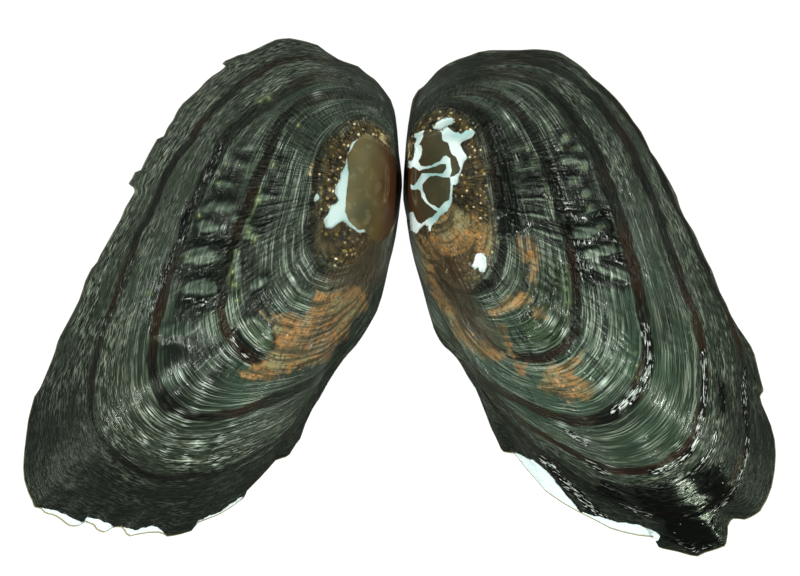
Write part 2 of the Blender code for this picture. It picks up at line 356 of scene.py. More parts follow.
    def inside(self, share, station):
        """The hollow: the dome above it less the wall."""
        plan = self.centre + share[..., None] * (self.hollow_edge(station) - self.centre)
        step = 0.5
        slope_x = (self.height_over(plan + (step, 0)) - self.height_over(plan - (step, 0))) / (2 * step)
        slope_y = (self.height_over(plan + (0, step)) - self.height_over(plan - (0, step))) / (2 * step)
        steepness = np.sqrt(1 + np.minimum(slope_x**2 + slope_y**2, 9))
        height = np.clip(self.height_over(plan) - WALL * steepness, 0, None) * (1 - share**14)
        return np.concatenate([plan, height[..., None]], axis=-1)


# What the skin of a valve carries: fine raised growth lines, a ledge at each growth rest, pleats and
# knobs across the lines, and small beads round the beak. The beak is worn through the skin, and bits
# of skin are gone along the margin.

# ledges at the growth rests get lower with growth, and the bands beside them have soft edges
LEDGE = 0.75
LEDGE_FADE = 0.75
LEDGE_FALL = 2.4
BAND_EDGE = 0.35
BAND_WANDER, BAND_LUMP = 0.8, 5
# the thin lip inside each band, which carries a painted highlight: its width, the size of its patches, and
# its strength at each rest
LIP_WIDTH = 0.7
LIP_LUMP = 8
LIP_SHARES = (0.0, 1.0, 0.25)
# how many rows of the mesh a line spans, how many patches its height changes over, and its height
LINE_HEIGHTS = ((1, 90, 0.11), (2, 60, 0.12), (4, 50, 0.09), (9, 40, 0.10), (20, 30, 0.14))
LINE_SPACING = 0.42
STEEP_SIDE, GENTLE_SIDE = 1.35, 0.85
PLEAT_HEIGHT = 0.30
PLEATS_ROUND = 52
MORE_PLEATS = 14
PLEAT_SHARES = (1.0, 0.8, 0.35)
PLEAT_WANDER, PLEAT_LUMP, PLEAT_LEAN, PLEAT_PATCH = 3.0, 7, 2.0, 14
BEAD_HEIGHT = 0.55
BEAD_RINGS = 48
BEADS_ROUND = 52
PEBBLE_RINGS = 64
WORN_DEPTH = 0.55
BARE_DEPTH = 0.35
SMOOTH_EDGE = 0.96
SMOOTH_BEAK = 0.03
LINES_ON_BANDS = 0.5
LINES_LOST_IN_BEADS = 0.6
# from where to where round a valve there are swellings, bands, lips and pleats
RELIEF_ROUND = (0.02, 0.95)
BANDS_ROUND = (0.04, 0.90)
LIPS_ROUND = (0.12, 0.66)
PLEATS_ALONG = (0.14, 0.62)
# over how many rows the crests and swellings are measured and how high they stand, for the painted
# highlight, sheen and shade on them, and how knobby the skin is and where its painted hollow shade falls
CREST_ROWS = 6
CREST_HEIGHT = 0.32
SWELL_ROWS = 12
SWELL_HEIGHT = 0.55
KNOBBY = (0.14, 0.32)
BETWEEN_KNOBS = (0.75, 0.15)
HOLLOW_SHADE_SWELL = (-0.05, -0.75)
HOLLOW_SHADE_ANYWHERE = 0.35

LEFT_MARKS = {
    "worn": (
        ((366, 137), (358, 141), (351, 147), (349, 156), (347, 166), (342, 175), (341, 182),
         (337, 188), (336, 195), (340, 202), (337, 206), (332, 207), (330, 215), (325, 221),
         (327, 228), (333, 230), (338, 225), (344, 222), (351, 228), (359, 233), (368, 234),
         (371, 240), (379, 243), (387, 236), (394, 221), (398, 200), (398.5, 185), (397, 172),
         (394, 159), (388, 150), (378, 142)),
        ((316, 198), (319, 196), (320, 200), (317, 204), (315, 203)),
    ),
    "brown": (
        ((367, 132), (357, 143), (352, 151), (348, 158), (349.5, 175), (348.5, 188), (347.5, 199),
         (346.5, 213), (350, 222), (359, 231), (366, 231), (369, 243), (380, 248), (390, 238),
         (398, 221), (403, 200), (403, 180), (398, 158), (388, 144), (378, 136)),
    ),
    "bare": (
        ((41, 508), (55, 510), (66, 514), (75, 519), (83, 523), (84, 532), (68, 534), (52, 524),
         (40, 516)),
        ((87, 517), (100, 520), (113, 525), (114, 535), (100, 540), (84, 530), (85, 522)),
        ((123, 527), (136, 530), (149, 526), (158, 527), (163, 532), (163, 541), (124, 543)),
        ((197, 521), (219, 512), (243, 496), (250, 499), (222, 522), (199, 529)),
    ),
    "rust": (
        ((257, 308), (272, 315), (290, 313), (306, 317), (313, 303), (318, 289), (331, 293),
         (349, 288), (362, 289), (368, 297), (366, 309), (351, 320), (347, 335), (336, 346),
         (328, 360), (308, 365), (292, 370), (272, 377), (250, 379), (242, 371), (252, 365),
         (268, 359), (275, 347), (279, 338), (275, 323), (266, 314)),
    ),
    "lobe": (
        ((243, 312), (258, 311), (272, 318), (278, 330), (276, 343), (266, 354), (254, 352),
         (243, 342), (236, 328), (237, 316)),
    ),
    # Black wet skin, and painted shade in the creases under the knobs.
    "wet_and_crease_shade": (
        ((184, 205), (200, 203), (192, 222), (184, 236), (178, 230)),
        ((196, 240), (226, 236), (240, 244), (228, 250), (214, 244), (200, 246)),
        ((188, 299), (222, 300), (224, 305), (206, 308), (190, 306)),
    ),
    "stained": (
        ((356, 236), (388, 238), (384, 275), (368, 292), (330, 292), (322, 278), (340, 268),
         (352, 256)),
    ),
    # Streams of wet black skin with painted glint dashes: half width in pixels, how thick they lie, and the
    # line they follow.
    "streams": (
        (5.0, 0.30, ((222, 148), (214, 168), (205, 190), (192, 208), (185, 222), (187, 234), (181, 248),
               (174, 260), (169, 270), (163, 285), (157, 298), (154, 312), (152, 330))),
        (4.5, 0.27, ((137, 258), (129, 278), (123, 290), (119, 302), (112, 316), (103, 334))),
        (2.0, 0.9, ((236, 338), (242, 347), (249, 356))),
    ),
    "gilded": (
        ((379, 133), (385, 138), (389, 148), (394, 156), (399, 170), (401, 179), (397, 177),
         (391, 165), (386, 152), (381, 143)),
        ((396, 212), (397, 218), (393, 230), (389, 237), (387, 232), (392, 222)),
        ((309, 176), (313, 164), (315, 166), (312, 178)),
    ),
    # Painted highlight strokes: middle and size in pixels.
    "gleams": (
        (184, 374, 7), (208, 381, 7), (231, 352, 8), (220, 364, 5), (152, 410, 7), (173, 418, 5),
        (189, 424, 5), (203, 395, 6), (197, 406, 5), (252, 332, 6), (245, 322, 5), (226, 228, 4),
        (216, 205, 4), (228, 160, 4), (284, 150, 4), (318, 96, 5), (282, 300, 5), (290, 292, 5),
        (296, 278, 4), (276, 290, 4), (176, 432, 7), (200, 442, 8), (224, 436, 7), (190, 456, 7),
        (216, 459, 7), (236, 424, 6), (168, 446, 6), (146, 438, 6), (182, 412, 5),
    ),
    # Painted glints, where more drops also stand: middle and size in pixels.
    "glints": (
        (204, 300, 5), (212, 301, 4), (221, 299, 3), (172, 270, 4), (168, 284, 3), (160, 296, 3),
        (158, 308, 2), (238, 342, 4), (244, 350, 3), (312, 305, 3), (222, 185, 3), (241, 169, 3),
        (186, 303, 3), (214, 274, 3), (191, 266, 3), (333, 122, 4), (340, 136, 5), (384, 140, 5),
        (366, 240, 4), (330, 160, 5),
    ),
    # Knob tips with a painted yellowish green highlight: middle and size in pixels.
    "tips": (
        (203, 217, 5), (192, 258, 5), (262, 202, 6), (276, 168, 5), (228, 165, 4), (240, 252, 4),
        (252, 234, 6), (238, 285, 6), (236, 272, 5), (152, 293, 5), (270, 100, 6), (262, 103, 5),
        (222, 185, 4), (300, 128, 4), (257, 240, 6), (241, 300, 5),
    ),
}


OUTLINED = ("worn", "brown", "bare", "rust", "lobe", "wet_and_crease_shade", "stained", "gilded")
SPOTTED = ("tips", "gleams", "glints")
MARK_REACH = 4.0
SPOT_WIDTH = 0.8
LATTICE = 61


def inside_by(points, outlines):
    """How far each point lies inside the nearest of some closed outlines, less than 0 outside them."""
    deepest = np.full(points.shape[:-1], -MARK_REACH)
    for outline in outlines:
        corners = on_table(outline)
        low, high = corners.min(axis=0) - MARK_REACH, corners.max(axis=0) + MARK_REACH
        close = np.all((points > low) & (points < high), axis=-1)
        some = points[close]
        nearest = np.full(len(some), MARK_REACH)
        within = np.zeros(len(some), bool)
        for start, end in zip(corners, np.roll(corners, -1, axis=0)):
            run = end - start
            away = some - start
            t = np.clip((away @ run) / (run @ run), 0, 1)
            nearest = np.minimum(nearest, np.linalg.norm(away - t[:, None] * run, axis=-1))
            crosses = (some[:, 1] > start[1]) != (some[:, 1] > end[1])
            rise = run[1] if run[1] else 1e-9
            within ^= crosses & (away[:, 0] < away[:, 1] / rise * run[0])
        deepest[close] = np.maximum(deepest[close], np.where(within, nearest, -nearest))
    return deepest


def spots(points, places):
    """Soft round spots, 1 in the middle of each, from their middles and sizes in photo pixels."""
    height = np.zeros(points.shape[:-1])
    for px, py, size in places:
        away = np.sum((points - on_table((px, py))) ** 2, axis=-1)
        height = np.maximum(height, np.exp(-away / (SPOT_WIDTH * size * PHOTO_MM) ** 2))
    return height


def beside(points, lines):
    """Soft strips along some lines, from their half widths, strengths on the line and pixels."""
    height = np.zeros(points.shape[:-1])
    for width, strength, line in lines:
        corners = on_table(line)
        reach = 2 * width * PHOTO_MM
        for start, end in zip(corners, corners[1:]):
            low, high = np.minimum(start, end) - reach, np.maximum(start, end) + reach
            close = np.all((points > low) & (points < high), axis=-1)
            away, run = points[close] - start, end - start
            t = np.clip((away @ run) / (run @ run), 0, 1)
            gap = np.linalg.norm(away - t[:, None] * run, axis=-1) / (width * PHOTO_MM)
            height[close] = np.maximum(height[close], strength * np.exp(-gap**2))
    return height


def uneven(plan, lump, seed):
    """Smooth random values from -1 to 1 over the plan, in lumps of so many millimetres."""
    lattice = np.random.default_rng(seed).uniform(-1, 1, (LATTICE, LATTICE))
    across, along = plan[..., 0] / lump, plan[..., 1] / lump
    column, row = np.floor(across).astype(int), np.floor(along).astype(int)
    tx, ty = eased(across - column), eased(along - row)
    left, right = column % LATTICE, (column + 1) % LATTICE
    low, high = (
        lattice[left, line % LATTICE] * (1 - tx) + lattice[right, line % LATTICE] * tx
        for line in (row, row + 1)
    )
    return low * (1 - ty) + high * ty


def outward(grid, turn):
    """Unit normals of a closed grid of points whose first row is one point."""
    along = np.gradient(grid, axis=0)
    around = np.roll(grid, -1, axis=1) - np.roll(grid, 1, axis=1)
    normal = np.cross(along, around) * turn
    length = np.linalg.norm(normal, axis=-1, keepdims=True)
    normal = normal / np.maximum(length, 1e-9)
    normal[0] = (0, 0, 1)
    return normal


def growth_lines(smooth, station, seed):
    """Each row of the mesh is a growth line of its own height, which wanders slowly along it."""
    rows = len(smooth)
    height = np.zeros((rows, len(station)))
    for spread, patches, size in LINE_HEIGHTS:
        random = np.random.default_rng(seed + spread).uniform(-1, 1, (rows // spread + 3, patches))
        row = np.arange(rows) / spread
        low, mix = np.floor(row).astype(int), (row % 1)[:, None]
        place = station * patches
        first = np.floor(place).astype(int)
        t = eased(place - first)
        table = random[low] * (1 - mix) + random[low + 1] * mix
        height += size * (table[:, first % patches] * (1 - t) + table[:, (first + 1) % patches] * t)
    spacing = np.linalg.norm(np.gradient(smooth, axis=0), axis=-1)
    return height * np.clip(spacing / LINE_SPACING, 0.1, 1.2)


def past_rests(valve, growth, station):
    """How far outside each growth rest's line the points lie, in millimetres, less than 0 inside it."""
    share, reach = valve.share_at(growth, station), valve.reach(station)
    lines = read_round(station, valve.fine, valve.share_knots[:, 1:-1])
    return [(share - line) * reach for line in np.moveaxis(lines, -1, 0)]


def ledges(facts, growth, past):
    """The shell swells up to each growth rest and starts again lower down."""
    height = np.zeros_like(growth)
    start = 0.0
    for (rest, (inner, _), _), away in zip(facts["rests"], past):
        rise = np.clip((growth - start) / (rest - start), 0, 1) ** 4
        size = LEDGE * (1 - LEDGE_FADE * rest)
        inner = inner * PHOTO_MM
        height += size * rise * (1 - smooth_step(inner, inner + LEDGE_FALL, away))
        start = rest
    return height


def rest_bands(facts, station, plan, past):
    """The dark bands of the growth rests, and the thin lip inside each of them, which carries a painted
    highlight.
    """
    bands, lips = np.zeros(station.shape), np.zeros(station.shape)
    for index, ((_, edges, _), away) in enumerate(zip(facts["rests"], past)):
        inner, outer = (edge * PHOTO_MM for edge in edges)
        away = away + BAND_WANDER * uneven(plan, BAND_LUMP, facts["seed"] + 20 + index)
        band = smooth_step(inner - BAND_EDGE, inner + BAND_EDGE, away)
        bands = np.maximum(bands, band * (1 - smooth_step(outer - BAND_EDGE, outer + BAND_EDGE, away)))
        patchy = uneven(plan, LIP_LUMP, facts["seed"] + 30 + index)
        lip = np.exp(-(((away - inner + LIP_WIDTH) / LIP_WIDTH) ** 2))
        lips = np.maximum(lips, LIP_SHARES[min(index, 2)] * lip * smooth_step(-0.1, 0.6, patchy))
    return bands * window(*BANDS_ROUND, station) ** 0.4, lips * window(*LIPS_ROUND, station) ** 0.5


def lumps(facts, plan):
    """Large knobs and swellings: rounded ovals, steeper on their rear side."""
    height = np.zeros(plan.shape[:-1])
    for px, py, half_length, half_width, turn, size in facts["lumps"]:
        away = plan - on_table((px, py))
        angle = math.radians(turn)
        long = (away[..., 0] * math.cos(angle) + away[..., 1] * math.sin(angle)) / (half_length * PHOTO_MM)
        wide = (away[..., 1] * math.cos(angle) - away[..., 0] * math.sin(angle)) / (half_width * PHOTO_MM)
        wide = wide * np.where(wide < 0, STEEP_SIDE, GENTLE_SIDE)
        height += size * np.exp(-((long**2 + wide**2) ** 1.5) * 0.8)
    return height


def pleats(facts, growth, station, plan):
    """Pleats and knobs across the growth lines on the belly half, starting afresh at each rest."""
    height = np.zeros_like(growth)
    edges = [rest[0] for rest in facts["rests"]]
    for index, (first, last) in enumerate(zip(edges, edges[1:])):
        across = np.clip((growth - first) / (last - first), 0, 1)
        swell = np.sin(math.pi * across**1.5)
        wander = PLEAT_WANDER * uneven(plan, PLEAT_LUMP, facts["seed"] + index) + PLEAT_LEAN * across
        pleats_round = PLEATS_ROUND + MORE_PLEATS * index
        wave = np.cos(2 * math.pi * pleats_round * station + wander)
        height += PLEAT_SHARES[min(index, 2)] * swell * wave
    patchy = 0.6 + 0.6 * uneven(plan, PLEAT_PATCH, facts["seed"] + 7)
    return PLEAT_HEIGHT * height * patchy * window(*PLEATS_ALONG, station) ** 0.7


def pebbles(across, along, around, seed):
    """Round pebbles, one to each unit each way; around units close a ring. Each has its middle
    anywhere in the inner 0.8 of its unit, and a radius from 0.30 to 0.75."""
    random = np.random.default_rng(seed).uniform(0, 1, (3, PEBBLE_RINGS, around))
    column, row = np.floor(across).astype(int), np.floor(along).astype(int)
    height = np.zeros(across.shape)
    for step_across in (-1, 0, 1):
        for step_along in (-1, 0, 1):
            cell = (column + step_across) % PEBBLE_RINGS, (row + step_along) % around
            middle_across = column + step_across + 0.1 + 0.8 * random[0][cell]
            middle_along = row + step_along + 0.1 + 0.8 * random[1][cell]
            size = 0.30 + 0.45 * random[2][cell]
            away = ((across - middle_across) ** 2 + (along - middle_along) ** 2) / size**2
            height = np.maximum(height, size * np.clip(1 - away, 0, 1) ** 0.8)
    return height


def beads(facts, growth, plan, beak):
    """Small beads in rings and rays round the beak."""
    away = plan - beak
    ray = (np.arctan2(away[..., 1], away[..., 0]) / (2 * math.pi) + 0.5) * BEADS_ROUND
    oldest = facts["rests"][0][0]
    fade = 1 - smooth_step(oldest * 0.90, oldest * 1.06, growth)
    return BEAD_HEIGHT * pebbles(growth * BEAD_RINGS, ray, BEADS_ROUND, facts["seed"]) * fade


def blurred(values, reach):
    """A field averaged over some rows and columns each way; its columns close round."""
    kernel = np.hanning(2 * reach + 3)[1:-1]
    kernel /= kernel.sum()
    rows = np.pad(values, ((reach, reach), (0, 0)), mode="edge")
    rows = np.apply_along_axis(np.convolve, 0, rows, kernel, "valid")
    columns = np.pad(rows, ((0, 0), (reach, reach)), mode="wrap")
    return np.apply_along_axis(np.convolve, 1, columns, kernel, "valid")


def skin_relief(facts, marks, valve, smooth, growth, around):
    """How far the skin stands off the smooth dome, and its marks, for the material to read."""
    plan = smooth[..., :2]
    oldest = facts["rests"][0][0]
    fields = {key: inside_by(plan, marks[key]) for key in OUTLINED}
    fields.update((key, spots(plan, marks[key])) for key in SPOTTED)
    lines = growth_lines(smooth, around[0], facts["seed"])
    beaded = beads(facts, growth, plan, valve.beak)
    past = past_rests(valve, growth, around)
    bands, lips = rest_bands(facts, around, plan, past)
    relief = ledges(facts, growth, past) + pleats(facts, growth, around, plan) + lumps(facts, plan)
    relief = relief * window(*RELIEF_ROUND, around) ** 0.3
    swell = np.clip((relief - blurred(relief, SWELL_ROWS)) / SWELL_HEIGHT, -1, 1)
    knobby = smooth_step(*KNOBBY, blurred(np.abs(swell), SWELL_ROWS))
    # The painted shade of the hollows: low places between the knobs, and fainter wherever the swell dips.
    hollow_shade = smooth_step(*HOLLOW_SHADE_SWELL, swell) * (HOLLOW_SHADE_ANYWHERE + (1 - HOLLOW_SHADE_ANYWHERE) * knobby)
    hollow_shade = np.maximum(hollow_shade, knobby * smooth_step(*BETWEEN_KNOBS, swell))
    # Growth lines stand higher on the dark bands and lower among the beads.
    among_beads = smooth_step(0.9 * oldest, 0.7 * oldest, growth)
    relief += beaded + lines * (1 + LINES_ON_BANDS * bands - LINES_LOST_IN_BEADS * among_beads)
    # Worn and chipped places lie lower than the skin round them.
    kept = 1 - smooth_step(-0.4, 0.4, fields["worn"])
    relief = relief * kept - WORN_DEPTH * (1 - kept)
    relief -= BARE_DEPTH * smooth_step(-0.3, 0.3, fields["bare"])
    relief *= 1 - smooth_step(SMOOTH_EDGE, 1.0, growth)
    relief *= smooth_step(0.0, SMOOTH_BEAK, growth)
    crest = relief - blurred(relief, CREST_ROWS)
    fields.update({
        "streams": beside(plan, marks["streams"]),
        "crest": np.clip(crest / CREST_HEIGHT, -1, 1),
        "growth": growth,
        "swell": swell,
        "band": bands,
        "lip": lips,
        "hollow_shade": hollow_shade,
        "bead": beaded / BEAD_HEIGHT,
        "beaded": 1 - smooth_step(oldest * 0.85, oldest * 1.05, growth),
        "from_margin": (1 - valve.share_at(growth, around)) * valve.reach(around),
    })
    return relief, fields


def rim_rows(valve, station):
    """The flat rim, which is recessed along the hinge and carries the teeth there."""
    across = np.arange(1, RIM_ROWS + 1) / (RIM_ROWS + 1)
    across, rim_station = np.meshgrid(across, station, indexing="ij")
    edge, hollow = valve.margin(rim_station), valve.hollow_edge(rim_station)
    plate = PLATE_RECESS * np.sin(math.pi * across**1.6)
    long_tooth = window(*LONG_TOOTH, rim_station)
    short_teeth = window(-0.01, 0.05, rim_station) + window(0.97, 1.03, rim_station)
    ridge = np.maximum(long_tooth, short_teeth * np.abs(np.cos(TEETH_ROUND * rim_station)))
    rise = hinge_share(rim_station) * (plate - TOOTH_HEIGHT * ridge * window(0.2, 0.95, across))
    return np.concatenate([edge + across[..., None] * (hollow - edge), rise[..., None]], axis=-1)


def plain_mesh(name, shape, **sizes):
    """A mesh of one of the plain shapes that bmesh makes."""
    bm = bmesh.new()
    shape(bm, **sizes)
    mesh = bpy.data.meshes.new(name)
    bm.to_mesh(mesh)
    bm.free()
    return mesh


def wrapped_sphere(name, grid, turn):
    """A sphere whose rows and columns take the places of a grid, with each vertex's row and column."""
    last_row, columns = len(grid) - 1, grid.shape[1]
    mesh = plain_mesh(
        name, bmesh.ops.create_uvsphere, u_segments=columns, v_segments=last_row, radius=1.0
    )
    places = np.empty(len(mesh.vertices) * 3)
    mesh.vertices.foreach_get("co", places)
    x, y, z = places.reshape(-1, 3).T
    row = np.rint(np.arccos(np.clip(z, -1, 1)) / math.pi * last_row).astype(int)
    column = np.rint(np.arctan2(y, x) / (2 * math.pi) * turn * columns).astype(int) % columns
    mesh.vertices.foreach_set("co", (grid[row, column] * MM).ravel())
    return mesh, row, column


def valve_mesh(facts, marks, name):
    """One closed mesh of a valve: rows down the outside, over the rim and up inside."""
    valve = Valve(facts)
    turn = np.arange(COLUMNS) / COLUMNS
    crowd = HINGE_CROWDING / (2 * math.pi)
    middle = 2 * math.pi * HINGE_MIDDLE
    station = (turn + crowd * (np.sin(2 * math.pi * turn - middle) + math.sin(middle))) % 1.0
    growth, around = np.meshgrid(np.linspace(0, 1, OUTER_ROWS + 1), station, indexing="ij")
    smooth = valve.outside(growth, around)
    relief, fields = skin_relief(facts, marks, valve, smooth, growth, around)
    outer = smooth + relief[..., None] * outward(smooth, facts["turn"])
    outer[-1, :, 2] = EDGE_THICKNESS

    share = 1 - np.arange(INNER_ROWS + 1) / INNER_ROWS
    share, inner_station = np.meshgrid(share, station, indexing="ij")
    inner = valve.inside(share**0.8, inner_station)
    grid = np.concatenate([outer, rim_rows(valve, station), inner])
    mesh, row, column = wrapped_sphere(name, grid, facts["turn"])
    outer_row = np.minimum(row, OUTER_ROWS)
    for key, values in fields.items():
        numbers = mesh.attributes.new(key, "FLOAT", "POINT").data
        numbers.foreach_set("value", values[outer_row, column].astype(float))

    # Skin covers the outside down to the edge, and nacre the rim and the hollow.
    corners = np.empty(len(mesh.loops), int)
    mesh.loops.foreach_get("vertex_index", corners)
    starts = np.empty(len(mesh.polygons), int)
    mesh.polygons.foreach_get("loop_start", starts)
    lowest_row = np.minimum.reduceat(row[corners], starts)
    mesh.polygons.foreach_set("material_index", (lowest_row >= OUTER_ROWS).astype(int))
    mesh.update()
    mesh.shade_smooth()
    mesh.set_sharp_from_angle(angle=math.radians(80))
    return mesh


# Periostracum, the horny skin of the shell, is a dark protein layer that grew line by line over the
# chalky wall: wet-looking, green-black, scratched and frayed. Under it the worn places show nacre
# and the brown of the oldest shell, and dried iron mud has stained patches of it rust.

def colour(code):
    """A linear colour from its sRGB hex code."""
    shares = [int(code[i : i + 2], 16) / 255 for i in (1, 3, 5)]
    return [c / 12.92 if c <= 0.04045 else ((c + 0.055) / 1.055) ** 2.4 for c in shares] + [1.0]


def add(tree, kind, inputs=None, **settings):
    """Adds a node, sets its properties, and fills its inputs with values or other nodes' outputs."""
    made = tree.nodes.new("ShaderNode" + kind)
    for name, value in settings.items():
        setattr(made, name, value)
    for key, value in (inputs or {}).items():
        if isinstance(value, bpy.types.NodeSocket):
            tree.links.new(value, made.inputs[key])
        else:
            made.inputs[key].default_value = value
    return made


FORMED = ("growth", "crest", "swell", "hollow_shade", "band", "lip", "bead", "beaded", "from_margin", "streams")

# How the steps of a material are made: the node, the inputs that its terms fill, the output that is
# read, and the node's settings. Any other way is a sum of the Math node, taken from left to right.
WAYS = {
    "ramp": ("MapRange", (0, 1, 2, 3, 4), 0, {}),
    "dome": ("MapRange", (0, 1, 2, 3, 4), 0, {"interpolation_type": "SMOOTHSTEP"}),
    "blend": ("Mix", (0, 2, 3), 0, {}),
    "tone": ("Mix", (0, 6, 7), 2, {"data_type": "RGBA"}),
    "noise": ("TexNoise", ("Vector", "Scale", "Detail"), 0, {}),
    "grid": ("CombineXYZ", (0, 1, 2), 0, {}),
    "bump": ("Bump", ("Height", "Distance", "Strength", "Normal"), 0, {}),
}


def work_out(tree, fields, steps):
    """Adds the nodes of some steps. Each says what it is called, how it is made and what it reads."""
    for name, way, *terms in steps:
        terms = [colour(t) if str(t).startswith("#") else fields.get(t, t) for t in terms]
        if way in WAYS:
            kind, keys, output, settings = WAYS[way]
            fields[name] = add(tree, kind, dict(zip(keys, terms)), **settings).outputs[output]
        else:
            value, *others = terms
            for other in others or [0.0]:  # a way that takes one term leaves this one out
                value = add(tree, "Math", {0: value, 1: other}, operation=way).outputs[0]
            fields[name] = value


# Noise over the skin, its size in millimetres and its detail: small and large blotches of the skin's
# own colour, clouds, and the flecks and grains of dried mud.
BLOTCHES = (("mottle", 9.09, 3.0), ("patches", 31.25, 2.0), ("cloudy", 14.29, 2.0),
            ("flecks", 3.03, 3.0), ("grains", 1.111, 2.0))
# Fibres of skin: how many to the whole growth, their length in millimetres, and their detail. The
# newest skin has short dashes 0.4 mm wide, older skin fine long lines, both in broader streaks.
FIBRES = (("dashes", 400, 2.5, 1.5), ("lines", 300, 14.29, 2.0), ("streaks", 60, 18.18, 2.0))
# How far apart in millimetres small beads stand round the beaks, and drops of water all over. Real
# drops are finer still, and these are as fine as show in the picture.
LATTICES = (("cells", "pimples", 1.786), ("grit", "drops", 1.316))
# The size in millimetres of the nicks in the edge of a layer that has worn or flaked off.
NICKS = 2.381

